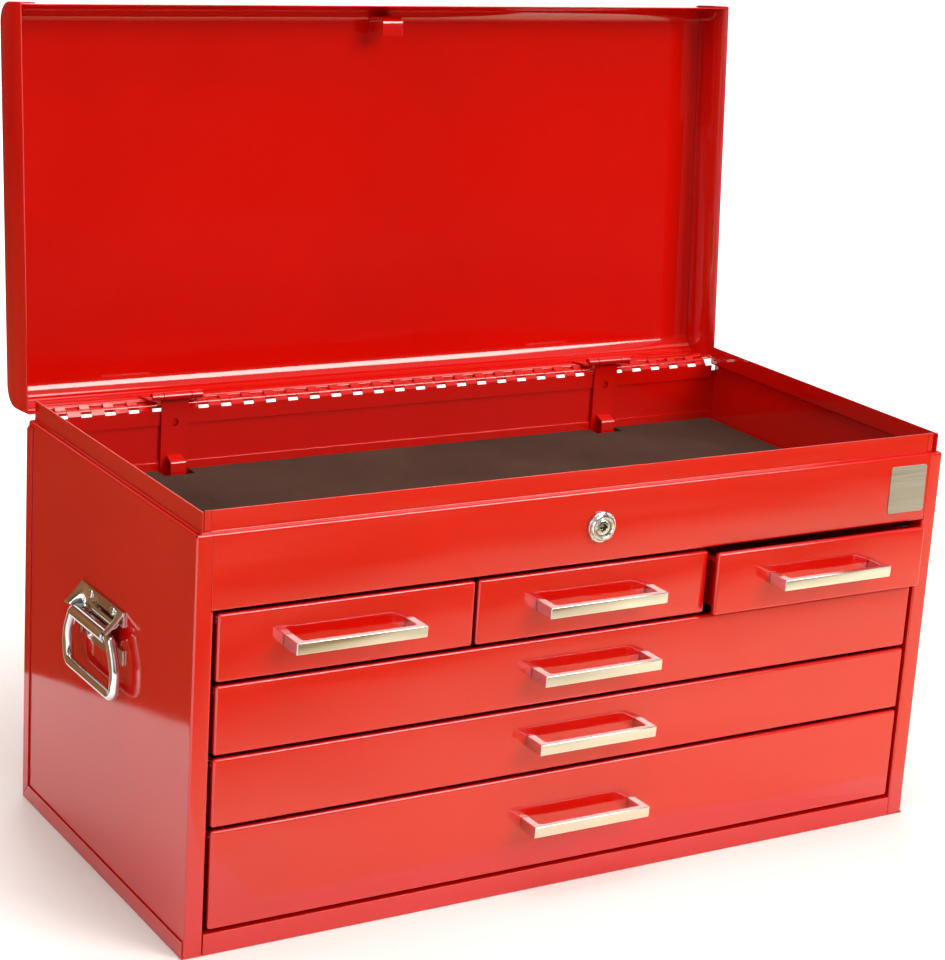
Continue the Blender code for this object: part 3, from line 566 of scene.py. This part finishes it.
class TOOLCHEST_OT_body(bpy.types.Operator):
    """Side panels and front panel, with their folds rounded"""

    bl_idname = "toolchest.body"
    bl_label = "Body panels"

    def execute(self, context):
        for name, left in (("right_side_panel", False), ("left_side_panel", True)):
            piece(name + "_sheet", built(self.side, left=left), PAINT, "chest", [name], edge=0)
        piece("front_panel_sheet", built(self.front), PAINT, "chest", ["front_panel"])
        return {"FINISHED"}

    def side(self, bm):
        """Wall with its post, ledge and lip, as folded from one sheet."""
        size = sizes()
        half = size.sheet / 2
        bend = size.fold - half
        gap = 0.0003
        jamb_depth = 0.013
        x = WALL_HIGH.x - half
        y = FRONT_Y + half
        top = size.ledge - half
        below = size.ledge - size.fold
        post_x = WALL_LOW.x + half
        seam = PANEL_HIGH.x + gap
        lip_x = WALL_HIGH.x - size.lip_inset - half
        lip_y = FRONT_Y + size.lip_inset + half
        foot = WALL_LOW.z
        back = WALL_HIGH.y
        post = [(x, back), (x, y), (seam, y)]
        sweep(bm, strip(rounded(post, bend), size.sheet), "Z", foot, below)
        jamb = [(seam, y), (post_x, y), (post_x, FRONT_Y + jamb_depth)]
        sweep(bm, strip(rounded(jamb, bend), size.sheet), "Z", foot, PANEL_LOW.z - gap)
        rim = [(x, below), (x, top), (lip_x, top), (lip_x, LIP_Z)]
        sweep(bm, strip(rounded(rim, bend), size.sheet), "Y", FRONT_Y + size.lip_inset / 2, back)
        tab = [(y, below), (y, top), (lip_y, top)]
        sweep(bm, strip(rounded(tab, bend), size.sheet), "X", seam, WALL_HIGH.x - size.notch / 2)
        lip = [(lip_y - half, top), (lip_y, top), (lip_y, LIP_Z)]
        sweep(bm, strip(lip, size.sheet), "X", seam, lip_x - size.notch)

    def front(self, bm):
        """Panel over the drawers, with its ledge, lip and return."""
        size = sizes()
        half = size.sheet / 2
        lip_y = FRONT_Y + size.lip_inset + half
        path = [
            (lip_y, LIP_Z),
            (lip_y, size.ledge - half),
            (FRONT_Y + half, size.ledge - half),
            (FRONT_Y + half, PANEL_LOW.z + half),
            (PANEL_HIGH.y, PANEL_LOW.z + half),
        ]
        outline = strip(rounded(path, size.fold - half), size.sheet)
        sweep(bm, outline, "X", PANEL_LOW.x, PANEL_HIGH.x)


class TOOLCHEST_OT_drawers(bpy.types.Operator):
    """Drawer fronts with rounded edges, and their bar pulls"""

    bl_idname = "toolchest.drawers"
    bl_label = "Drawer fronts and pulls"

    def execute(self, context):
        for drawer in DRAWERS:
            front = built(self.front, drawer)
            piece(drawer + "_face", front, PAINT, drawer, [drawer + "_front"], edge=0, wall=sizes().sheet)
            pull = built(self.pull, drawer)
            piece(drawer + "_bar_pull", pull, CHROME, drawer, [drawer + "_pull"], edge=0.0007)
        return {"FINISHED"}

    def front(self, bm, drawer):
        """One front: a flat face, a rounded edge all round and a return behind it."""
        low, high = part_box(drawer + "_front")
        radius = sizes().front_fold
        corner = radius * 1.15
        rings = [(inset, low.y + depth) for inset, depth in rolled_edge(radius)]
        rings.append((0, high.y))
        loops = []
        for inset, y in rings:
            start = (low.x + inset, low.z + inset)
            end = (high.x - inset, high.z - inset)
            loops.append([(x, y, z) for x, z in rounded_rectangle(start, end, corner - inset)])
        made = bridge(bm, loops)
        bm.faces.new(made[0])

    def pull(self, bm, drawer):
        """One pull: a bar with a faintly rounded face, bent back into a leg at each end."""
        low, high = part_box(drawer + "_pull")
        thickness = 0.005
        leg = 0.007
        crown = 0.0002
        outer_bend = 0.0007
        inner_bend = 0.002
        steps = 8
        bar = low.y + thickness
        inner = [(high.x - leg, high.y), (high.x - leg, bar), (low.x + leg, bar), (low.x + leg, high.y)]
        inner = rounded(inner, inner_bend, 5)
        loops = []
        for i in range(steps + 1):
            across = 2 * i / steps - 1
            face = low.y + crown * (1 - across + across**2)
            z = (low.z + high.z) / 2 + across * (high.z - low.z) / 2
            outer = [(low.x, high.y), (low.x, face), (high.x, face), (high.x, high.y)]
            loops.append([(x, y, z) for x, y in rounded(outer, outer_bend, 4) + inner])
        loft(bm, loops)


class TOOLCHEST_OT_handles(bpy.types.Operator):
    """Carrying handles: stamped plates, rivets and wire bails"""

    bl_idname = "toolchest.handles"
    bl_label = "Carrying handles"

    def execute(self, context):
        for hand, left in (("right", False), ("left", True)):
            for name, make, body, nodes, edge in (
                ("_plate_stamping", self.plate, "chest", [hand + "_handle_plate"], 0.0003),
                ("_plate_rivets", self.rivets, "chest", [], 0),
                ("_bail_wire", self.bail, hand + "_bail", [hand + "_bail"], 0),
            ):
                piece(hand + name, built(make, left=left), CHROME, body, nodes, edge)
        return {"FINISHED"}

    def plate(self, bm):
        """Plate with a rolled nose, a window over it and a flared hood at each end."""
        low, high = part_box("right_handle_plate")
        sheet = HANDLE_SHEET
        nose = 0.00515
        bend = 0.004
        bend_radius = 0.0039
        half_slot = 0.00175
        half_window = 0.022
        half = sizes().nose_length / 2
        wall = low.x + sheet / 2
        x = BAIL_PIVOT.x
        over = BAIL_PIVOT.z + nose
        under = BAIL_PIVOT.z - nose
        upper = rounded([(wall, over + bend), (wall, over), (x, over)], bend_radius, 8)
        lower = rounded([(x, under), (wall, under), (wall, under - bend)], bend_radius, 8)
        roll = arc((x, BAIL_PIVOT.z), nose, 90, -90, 14)
        slot = (wall + bend + x) / 2
        whole = strip(upper[:-1] + roll + lower[1:], sheet)
        sweep(bm, whole, "Y", -half, -half_window)
        sweep(bm, whole, "Y", half_window, half)
        behind = upper[:-1] + [(slot - half_slot, over)]
        sweep(bm, strip(behind, sheet), "Y", -half_window, half_window)
        before = [(slot + half_slot, over)] + roll + lower[1:]
        sweep(bm, strip(before, sheet), "Y", -half_window, half_window)
        sweep(bm, strip([(wall, over + bend), (wall, high.z)], sheet), "Y", low.y, high.y)
        sweep(bm, strip([(wall, low.z), (wall, under - bend)], sheet), "Y", low.y, high.y)
        for way in (-1, 1):
            self.hood(bm, way, Vector((wall, over)), x + nose - wall, high)

    def hood(self, bm, way, foot, reach, high):
        """One hood: sheet that swells out of the plate and slopes down to the nose."""
        start = 0.0255
        swelling = 0.009
        end_inset = 0.0006
        hollow = 0.03
        steps = 8
        slope_steps = 12
        rise = high.z - HANDLE_SHEET / 2 - foot.y
        slope = []
        for i in range(slope_steps):
            along = i / slope_steps
            dip = hollow * math.sin(math.pi * along)
            slope.append((along - dip, 1 - along - dip))
        slope += [(0.97, 0.02), (0.99, -0.03)]
        shares = [i / steps for i in range(steps + 1)]
        stations = [(start + swelling * share, math.sin(math.pi / 2 * share) ** 2) for share in shares]
        stations.append((high.y - end_inset, 1))
        loops = []
        for y, swell in stations:
            path = [(foot.x + reach * out * swell, foot.y + rise * up) for out, up in slope]
            loops.append([(x, way * y, z) for x, z in strip(path, HANDLE_SHEET)])
        loft(bm, loops)

    def rivets(self, bm):
        """Four domed rivets through the plate's flanges."""
        low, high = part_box("right_handle_plate")
        spacing = 0.0208
        inset = 0.0055
        dome = [
            (0.0040, -0.0006),
            (0.0040, 0.0002),
            (0.0036, 0.0010),
            (0.0027, 0.0017),
            (0.0014, 0.0021),
            (0.0002, 0.0022),
        ]
        for y in (-spacing, spacing):
            for z in (high.z - inset, low.z + inset):
                turned(bm, dome, (low.x + HANDLE_SHEET, y, z), RIGHT, 24)

    def bail(self, bm):
        """Round wire bent into a loop that bows outwards, with its ends in the plate's nose."""
        low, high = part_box("right_bail")
        radius = (high.x - low.x) / 2
        drop = BAIL_PIVOT.z - low.z - radius
        top, foot = 0.035, 0.043
        bow = 0.0011
        end_length = 0.018
        leg_bend, shoulder_bend, elbow_bend = 0.030, 0.006, 0.008
        middle = high.y - radius + bow
        leg = rounded([(top, 0), (middle, -drop / 2), (foot, -drop)], leg_bend, 8)
        shoulder = rounded([(top - end_length, 0), *leg[:2]], shoulder_bend, 10)
        elbow = rounded([*leg[-2:], (0, -drop)], elbow_bend, 10)
        half_route = shoulder[:-1] + leg[1:-1] + elbow[1:-1]
        route = half_route + [(-y, z) for y, z in half_route[::-1]]
        tube(bm, [(BAIL_PIVOT.x, y, BAIL_PIVOT.z + z) for y, z in route], radius, 20)


class TOOLCHEST_OT_lock(bpy.types.Operator):
    """Cam lock: ringed bezel, plug, and a near-black slab as the keyway's painted shade"""

    bl_idname = "toolchest.lock"
    bl_label = "Lock"

    def execute(self, context):
        piece("lock_bezel", built(self.bezel), CHROME, "chest", ["lock_housing"], edge=0.0001)
        piece("lock_face", built(self.plug), CHROME, "lock_barrel", ["lock_plug"], edge=0.0001)
        # A near-black slab, not a cut slot: painted shade for the keyway.
        piece("lock_keyway", built(self.keyway), KEYWAY_SHADE, "lock_barrel", edge=0)
        return {"FINISHED"}

    def bezel(self, bm):
        """Housing with a ringed face, four studs on its rim and the nut behind the panel."""
        housing = [
            (0.0062, -0.0240),
            (0.0090, -0.0245),
            (0.0090, 0.0003),
            (0.0120, 0.0003),
            (0.0120, 0.0020),
            (0.0116, 0.0027),
            (0.0106, 0.0031),
            (0.0103, 0.0032),
            (0.0101, 0.0042),
            (0.0094, 0.0049),
            (0.0084, 0.0050),
            (0.0079, 0.0045),
            (0.0076, 0.0037),
            (0.0067, 0.0036),
            (0.0063, 0.0040),
            (0.0062, 0.0036),
            (0.0062, -0.0239),
        ]
        turned(bm, housing, LOCK, FORWARD)
        stud = [(0.0011, 0.0), (0.0011, 0.0006), (0.0007, 0.0010), (0.0001, 0.0011)]
        ring, proud = 0.0112, 0.0022
        for k in range(4):
            angle = math.radians(45 + 90 * k)
            spot = LOCK + Vector((ring * math.cos(angle), -proud, ring * math.sin(angle)))
            turned(bm, stud, spot, FORWARD, 12)
        nut = [
            (0.0088, -0.0013),
            (0.0134, -0.0013),
            (0.01385, -0.0018),
            (0.01385, -0.0063),
            (0.0088, -0.0063),
            (0.0088, -0.0013),
        ]
        turned(bm, nut, LOCK, FORWARD, 6)

    def plug(self, bm):
        """Plug with a dished face."""
        profile = [
            (0.0002, 0.0024),
            (0.0018, 0.0024),
            (0.0026, 0.0034),
            (0.0031, 0.0042),
            (0.0050, 0.0042),
            (0.0059, 0.0037),
            (0.0059, -0.0256),
            (0.0002, -0.0256),
        ]
        turned(bm, profile, LOCK, FORWARD)

    def keyway(self, bm):
        """Dark slit across the plug's face: a solid near-black slab, painted shade in place of the keyway's
        hollow.
        """
        half_width, half_height, corner = 0.0034, 0.0006, 0.0004
        front, back = 0.0043, 0.0020
        low = (-half_width, LOCK.z - half_height)
        high = (half_width, LOCK.z + half_height)
        sweep(bm, rounded_rectangle(low, high, corner), "Y", FRONT_Y - front, FRONT_Y - back)


class TOOLCHEST_OT_lid(bpy.types.Operator):
    """Lid: bent shell, folded end caps and the lock's catch"""

    bl_idname = "toolchest.lid"
    bl_label = "Lid"

    def execute(self, context):
        piece("lid_sheet", built(self.shell), PAINT, "lid", ["lid_shell"], turn=LID_TURN)
        for name, left in (("lid_right_end", False), ("lid_left_end", True)):
            cap = built(self.cap, left=left)
            piece(name + "_cap", cap, PAINT, "lid", [name], edge=0, wall=sizes().sheet, turn=LID_TURN)
        piece("lock_catch", built(self.catch), PAINT, "lid", ["lid_catch"], turn=LID_TURN)
        return {"FINISHED"}

    def shell(self, bm):
        """One sheet bent down at the front and back."""
        size = sizes()
        low, high = closed_box("lid_shell")
        half = size.sheet / 2
        path = [
            (low.y + half, low.z),
            (low.y + half, high.z - half),
            (high.y - half, high.z - half),
            (high.y - half, HINGE.z + size.hinge_notch),
        ]
        sweep(bm, strip(rounded(path, size.lid_bend - half, 16), size.sheet), "X", low.x, high.x)

    def cap(self, bm):
        """End plate with a rounded edge and a flange over the shell."""
        size = sizes()
        low, high = closed_box("lid_right_end")
        corner = size.lid_bend + 0.0013
        rings = [(inset, high.x - depth) for inset, depth in rolled_edge(size.fold)]
        rings.append((0, low.x))
        loops = []
        for inset, x in rings:
            path = [
                (low.y + inset, low.z),
                (low.y + inset, high.z - inset),
                (high.y - inset, high.z - inset),
                (high.y - inset, low.z),
            ]
            loops.append([(x, y, z) for y, z in rounded(path, corner - inset, 16)])
        made = bridge(bm, loops, False)
        bm.faces.new(made[0])

    def catch(self, bm):
        """Bent strap that the lock's cam hooks over."""
        low, high = closed_box("lid_catch")
        strap = 0.0014
        flange = 0.013
        bend = 0.005
        half = strap / 2
        path = [
            (low.y + half + flange, high.z - half),
            (low.y + half, high.z - half),
            (low.y + half, low.z + half),
            (high.y, low.z + half),
        ]
        sweep(bm, strip(rounded(path, bend), strap), "X", low.x, high.x)


class TOOLCHEST_OT_hinge(bpy.types.Operator):
    """Long hinge: two leaves with their knuckles rolled in turn"""

    bl_idname = "toolchest.hinge"
    bl_label = "Hinge"

    def execute(self, context):
        lower = built(self.leaf, -1, 0, -0.0005)
        piece("hinge_lower_leaf_roll", lower, PAINT, "chest", ["hinge_lower_leaf"], edge=0)
        upper = built(self.leaf, 1, 1, 0.0009)
        piece("hinge_upper_leaf_roll", upper, PAINT, "lid", ["hinge_upper_leaf"], edge=0, turn=LID_TURN)
        return {"FINISHED"}

    def leaf(self, bm, up, first, room):
        """Plate along the wall, with every second knuckle rolled round the pin."""
        size = sizes()
        low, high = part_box("hinge_lower_leaf")
        count = 63
        lip_bend = 0.0008
        skirt = 0.0072
        half = size.sheet / 2
        plate_y = low.y + half
        edge = (plate_y, HINGE.z + up * size.hinge_notch)
        end = (plate_y, HINGE.z + up * (HINGE.z - low.z))
        if up > 0:
            lip = HINGE.z + size.hinge_lip + half
            plate = rounded([(HINGE.y - lip_bend, lip), (plate_y, lip), end], lip_bend)
            sweep(bm, strip(plate, size.sheet), "X", low.x, high.x)
        else:
            sweep(bm, strip([edge, end], size.sheet), "X", low.x - skirt, high.x + skirt)
        path = [edge, (plate_y, HINGE.z + up * (size.hinge_notch - size.knuckle / 2))]
        path += arc((HINGE.y, HINGE.z), size.knuckle - half, 180, 180 + up * 270, 14)
        outline = strip(path, size.sheet)
        pitch = (high.x - low.x) / count
        for index in range(first, count, 2):
            start = low.x + index * pitch + room
            sweep(bm, outline, "X", max(low.x, start), min(high.x, start + pitch - 2 * room))


class TOOLCHEST_OT_bars(bpy.types.Operator):
    """Lock bars with their rolled eyes and fingers, and the brackets that push them"""

    bl_idname = "toolchest.bars"
    bl_label = "Lock bars"

    def execute(self, context):
        for hand in ("left", "right"):
            bar = hand + "_lock_bar"
            piece(hand + "_bar_strap", built(self.bar, hand), PAINT, bar, [bar], edge=0)
            lugs = built(self.bracket, hand)
            piece(hand + "_bar_lugs", lugs, PAINT, "lid", [hand + "_bar_bracket"], turn=LID_TURN)
        return {"FINISHED"}

    def bar(self, bm, hand):
        """Strap with an eye at the top, a hole below it and a finger bent out of it."""
        size = sizes()
        low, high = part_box(hand + "_lock_bar")
        eye = Vector(JOINTS[hand + "_link_turn"]["pos_m"])
        hole_drop, hole_radius = 0.0225, 0.0033
        finger_slope, finger_drop, finger_bend, half_finger = 0.0032, 0.0221, 0.0025, 0.0065
        strap = size.strap
        middle = size.eye - strap / 2
        y = eye.y + middle
        roll = arc((eye.y, eye.z), middle, 0, 270, 18)
        sweep(bm, strip(roll, strap), "X", low.x, high.x)
        faces = (y - strap / 2, y + strap / 2)
        hole = (eye.x, eye.z - hole_drop)
        self.holed(bm, (low.x, low.z), (high.x, eye.z), faces, hole, hole_radius)
        reach = low.y + strap / 2
        finger = [
            (y, size.finger_top),
            (reach, size.finger_top - finger_slope),
            (reach, size.finger_top - finger_drop),
        ]
        outline = strip(rounded(finger, finger_bend, 8), strap)
        sweep(bm, outline, "X", eye.x - half_finger, eye.x + half_finger)

    def holed(self, bm, low, high, faces, centre, radius):
        """Flat piece of strap with a round hole through it."""
        steps = 32
        corners = [(x, z) for x in (low[0], high[0]) for z in (low[1], high[1])]
        angles = [math.atan2(z - centre[1], x - centre[0]) for x, z in corners]
        angles += [math.pi * (2 * k + 1) / steps - math.pi for k in range(steps)]
        round_hole, square = [], []
        for angle in sorted(angles):
            way = Vector((math.cos(angle), math.sin(angle)))
            round_hole.append(Vector(centre) + radius * way)
            reach_x = (high[0] - centre[0] if way.x > 0 else centre[0] - low[0]) / abs(way.x)
            reach_z = (high[1] - centre[1] if way.y > 0 else centre[1] - low[1]) / abs(way.y)
            square.append(Vector(centre) + min(reach_x, reach_z) * way)
        front, back = faces
        loops = [(square, back), (square, front), (round_hole, front), (round_hole, back), (square, back)]
        bridge(bm, [[(x, y, z) for x, z in loop] for loop, y in loops])

    def bracket(self, bm, hand):
        """Plate under the lid with a rolled lug each side of the bar."""
        size = sizes()
        eye = LID_TURN.inverted() @ Vector(JOINTS[hand + "_link_turn"]["pos_m"])
        low, high = closed_box(hand + "_bar_bracket")
        plate_height = 0.015
        lug = 0.0095
        pin_inset = 0.0008
        strap = size.strap
        y = high.y - strap / 2
        foot = high.z - plate_height
        sweep(bm, strip([(y, foot), (y, high.z)], strap), "X", low.x, high.x)
        path = [(y, foot), (y, eye.z + size.eye)]
        path += arc((eye.y, eye.z), size.eye - strap / 2, 0, -270, 18)
        outline = strip(path, strap)
        for start, end in ((low.x, low.x + lug), (high.x - lug, high.x)):
            sweep(bm, outline, "X", start, end)
        pin = [(0.0001, 0), (0.0020, 0), (0.0020, 0.0080), (0.0015, 0.0085), (0.0015, 0.0260)]
        for x, way in ((low.x + pin_inset, 1), (high.x - pin_inset, -1)):
            turned(bm, pin, (x, eye.y, eye.z), way * RIGHT, 16)


class TOOLCHEST_OT_till(bpy.types.Operator):
    """Foam mat on the till's floor, and the plain plate on the front"""

    bl_idname = "toolchest.till"
    bl_label = "Mat and plate"

    def execute(self, context):
        mat = piece("till_mat", built(self.mat), FOAM, "chest", ["till_liner"], edge=0.0006)
        piece("plain_plate", built(self.plate), BRUSHED, "chest", edge=0.0002)
        return {"FINISHED"}

    def mat(self, bm):
        """Flat mat with a slot for each lock bar."""
        low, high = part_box("till_liner")
        front_room, side_room = 0.0035, 0.0015
        slots = []
        for hand in ("right", "left"):
            x = JOINTS[hand + "_link_turn"]["pos_m"][0]
            start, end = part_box(hand + "_lock_bar")
            front = start.y - front_room
            half = (end.x - start.x) / 2 + side_room
            slots += [(x + half, high.y), (x + half, front), (x - half, front), (x - half, high.y)]
        outline = [(low.x, low.y), (high.x, low.y), (high.x, high.y)] + slots + [(low.x, high.y)]
        sweep(bm, outline, "Z", low.z, high.z)

    def plate(self, bm):
        """Thin plate with rounded corners, let a little into the panel."""
        low, high, corner = (0.2775, 0.2690), (0.3140, 0.3080), 0.0025
        proud, sunk = 0.0009, 0.0002
        sweep(bm, rounded_rectangle(low, high, corner, 6), "Y", FRONT_Y - proud, FRONT_Y + sunk)


class TOOLCHEST_OT_finishes(bpy.types.Operator):
    """Finishes and rounded edges for the solids that stay as they are"""

    bl_idname = "toolchest.finishes"
    bl_label = "Plain pieces"

    def execute(self, context):
        for name, node in frame["nodes"].items():
            if node.hide_render:
                continue
            bare = name.endswith(("_runner", "_pin")) or name == "lock_cam"
            node.data.materials.clear()
            node.data.materials.append(finish(ZINC if bare else PAINT))
            weld = node.modifiers.new("weld", "WELD")
            weld.merge_threshold = 0.00002
            soften(node, sizes().edge)
        return {"FINISHED"}


class TOOLCHEST_OT_stage(bpy.types.Operator):
    """Pale floor and backdrop, soft lamps, dim surroundings and the camera"""

    bl_idname = "toolchest.stage"
    bl_label = "Stage"

    def execute(self, context):
        scene = context.scene
        scene.view_settings.view_transform = "Standard"
        self.floor()
        self.surroundings(scene)
        self.cards()
        self.lamp("key_lamp", (1.5, -2.6, 2.1), aim=(0.0, 0.0, 0.35), size=1.6, power=80)
        self.lamp("top_lamp", (-0.2, -0.3, 2.4), aim=(0.0, 0.0, 0.2), size=1.4, power=30)
        self.lamp("low_lamp", (-0.2, -1.3, 0.5), aim=(0.0, 0.0, 0.1), size=0.8, power=1)
        self.lamp("side_lamp", (-2.6, -0.9, 1.7), aim=(-0.3, 0.0, 0.3), size=1.2, power=10)
        self.lamp("back_lamp", (1.2, 3.2, 2.2), aim=(0.0, 0.2, 0.3), size=1.6, power=45)
        self.camera(scene)
        return {"FINISHED"}

    def floor(self):
        """Paper sweep: flat round the chest, and curved up far behind it and on both sides."""
        reach, bend, top = 9.0, 2.0, 6.0
        drop = 0.0004
        rise = arc((reach - bend, bend), bend, -90, 0, 16) + [(reach, top)]
        across = [(-x, z) for x, z in rise[::-1]] + rise
        along = [(-reach, 0.0), *rise]
        rows = [[(x, y, max(side, z) - drop) for y, z in along] for x, side in across]
        sheet = placed("paper_sweep", built(bridge, rows, False))
        material, tree, sockets, place = new_material("pale_paper")
        grain = spread(tree, noise(tree, place, scale=3.0, detail=3.0), 0, 1)
        tree.links.new(varied(tree, grain, colours().floor, 0.98, 1.01), sockets["Base Color"])
        sockets["Roughness"].default_value = 0.9
        sockets["Specular IOR Level"].default_value = 0.1
        sockets["Emission Color"].default_value = (1, 1, 1, 1)
        far = tree.nodes.new("ShaderNodeVectorMath")
        far.operation = "LENGTH"
        tree.links.new(place, far.inputs[0])
        near_glow = spread(tree, far.outputs["Value"], 0.05, 0.6, from_low=0.35, from_high=0.85)
        far_glow = spread(tree, far.outputs["Value"], 0, 0.4, from_low=1.2, from_high=4.0)
        glow = combined(tree, "ADD", near_glow, far_glow)
        tree.links.new(seen(tree, glow), sockets["Emission Strength"])
        sheet.data.materials.append(material)

    def cards(self):
        """Cards that the camera doesn't see and that cast no shadow: seen only in reflections, their tones
        are painted reflections of the floor and room. Brown by the left side, tan in front, dark further off.
        """
        upright = [[(x, y, z) for x, y in ((-0.39, 0.48), (-0.82, -0.17))] for z in (0.0, 1.1)]
        near, beyond, behind = (
            [[(x, y, 0.001) for x in across] for y in along]
            for across, along in (
                ((-0.25, 1.9), (-0.22, -1.7)),
                ((-8.9, 8.9), (-1.7, -8.9)),
                ((-8.9, -0.55), (0.9, 6.9)),
            )
        )
        black = (0.006, 0.004, 0.002)
        brown_black = (0.012, 0.008, 0.004)
        # Back card pale low and dark high: painted reflection of the pale floor and dark room in the left
        # side.
        upward = ((0, 0, 1), 0.85, 0, 0.27, 0.5)
        # Front card pale near the chest and darker far out: painted reflection of the floor in the drawer
        # fronts.
        inward = ((0.28, 1, 0), -0.12, 0.9, -0.78, -0.38)
        self.card("back_card", upright, (0.05, 0.022, 0.008), (0.34, 0.18, 0.072), upward)
        self.card("front_card", near, (0.27, 0.155, 0.045), (1.0, 0.90, 0.65), inward)
        # Near-black cards: painted dark reflection of a dim room.
        self.card("dark_card", beyond, black, brown_black)
        self.card("far_card", behind, black, brown_black)

    def card(self, name, rows, dark, light, fade=None):
        """One card, whose colour is a painted reflection with soft bands through it. A fade gives its
        direction, its two tones and where they lie along that direction.
        """
        card = placed(name, built(bridge, rows, False))
        material, tree, sockets, place = new_material(name + "_painted_reflection")
        reflection_bands = noise(tree, place, scale=3.5, detail=3.0)
        if fade:
            along, *limits = fade
            slant = tree.nodes.new("ShaderNodeVectorMath")
            slant.operation = "DOT_PRODUCT"
            slant.inputs[1].default_value = along
            tree.links.new(place, slant.inputs[0])
            faded = spread(tree, slant.outputs["Value"], *limits)
            tone = combined(tree, "ADD", spread(tree, reflection_bands, 0, 0.35), faded, clamp=True)
        else:
            tone = spread(tree, reflection_bands, 0, 1)
        tree.links.new(shade(tree, tone, dark, light), sockets["Base Color"])
        sockets["Roughness"].default_value = 0.95
        card.data.materials.append(material)
        card.visible_camera = False
        card.visible_diffuse = False
        card.visible_shadow = False

    def surroundings(self, scene):
        """Dim warm room, lighter overhead."""
        world = bpy.data.worlds.new("studio")
        scene.world = world
        world.use_nodes = True
        tree = world.node_tree
        sockets = tree.nodes["Background"].inputs
        place = tree.nodes.new("ShaderNodeTexCoord")
        split = tree.nodes.new("ShaderNodeSeparateXYZ")
        tree.links.new(place.outputs["Generated"], split.inputs["Vector"])
        height = spread(tree, split.outputs["Z"], 0, 1, from_low=-0.05, from_high=0.7)
        tree.links.new(shade(tree, height, (0.07, 0.05, 0.03), (0.75, 0.74, 0.72)), sockets["Color"])
        sockets["Strength"].default_value = 0.55

    def lamp(self, name, place, aim, size, power):
        """One soft square lamp."""
        light = bpy.data.lights.new(name, "AREA")
        light.size = size
        light.energy = power
        light.color = (1.0, 0.96, 0.90)
        lamp = bpy.data.objects.new(name, light)
        lamp.location = place
        lamp.rotation_euler = (Vector(aim) - Vector(place)).to_track_quat("-Z", "Y").to_euler()
        bpy.context.scene.collection.objects.link(lamp)

    def camera(self, scene):
        """Camera at the photograph's angle."""
        lens = bpy.data.cameras.new("camera")
        lens.sensor_width = 36
        lens.lens = 92.92
        camera = bpy.data.objects.new("camera", lens)
        place = Vector((-1.00864, -1.60685, 0.82943))
        right = Vector((0.85885, -0.50852, 0.06149)).normalized()
        ahead = Vector((0.50399, 0.81751, -0.27869)).normalized()
        up = right.cross(ahead).normalized()
        turn = Matrix((right, up, -ahead)).transposed().to_4x4()
        camera.matrix_world = Matrix.Translation(place) @ turn
        scene.collection.objects.link(camera)
        scene.camera = camera


PIECES = (
    TOOLCHEST_OT_body,
    TOOLCHEST_OT_drawers,
    TOOLCHEST_OT_handles,
    TOOLCHEST_OT_lock,
    TOOLCHEST_OT_lid,
    TOOLCHEST_OT_hinge,
    TOOLCHEST_OT_bars,
    TOOLCHEST_OT_till,
    TOOLCHEST_OT_finishes,
    TOOLCHEST_OT_stage,
)


class TOOLCHEST_PT_panel(bpy.types.Panel):
    """Sidebar panel with the settings and one button for each group of pieces"""

    bl_idname = "TOOLCHEST_PT_panel"
    bl_label = "Tool Chest"
    bl_space_type = "VIEW_3D"
    bl_region_type = "UI"
    bl_category = "Tool Chest"

    def draw(self, context):
        layout = self.layout
        for settings in (context.scene.tool_chest_sizes, context.scene.tool_chest_colours):
            column = layout.column()
            for name in settings.__annotations__:
                column.prop(settings, name)
        for operator in PIECES:
            layout.operator(operator.bl_idname)


CLASSES = (ToolChestSizes, ToolChestColours, *PIECES, TOOLCHEST_PT_panel)


def register():
    """Registers the classes and the scene's settings."""
    for entry in CLASSES:
        bpy.utils.register_class(entry)
    bpy.types.Scene.tool_chest_sizes = bpy.props.PointerProperty(type=ToolChestSizes)
    bpy.types.Scene.tool_chest_colours = bpy.props.PointerProperty(type=ToolChestColours)


def unregister():
    """Removes the settings and the classes."""
    del bpy.types.Scene.tool_chest_colours
    del bpy.types.Scene.tool_chest_sizes
    for entry in reversed(CLASSES):
        bpy.utils.unregister_class(entry)


def main():
    """Builds every piece in order."""
    register()
    bpy.ops.toolchest.body()
    bpy.ops.toolchest.drawers()
    bpy.ops.toolchest.handles()
    bpy.ops.toolchest.lock()
    bpy.ops.toolchest.lid()
    bpy.ops.toolchest.hinge()
    bpy.ops.toolchest.bars()
    bpy.ops.toolchest.till()
    bpy.ops.toolchest.finishes()
    bpy.ops.toolchest.stage()


if __name__ == "__main__":
    main()
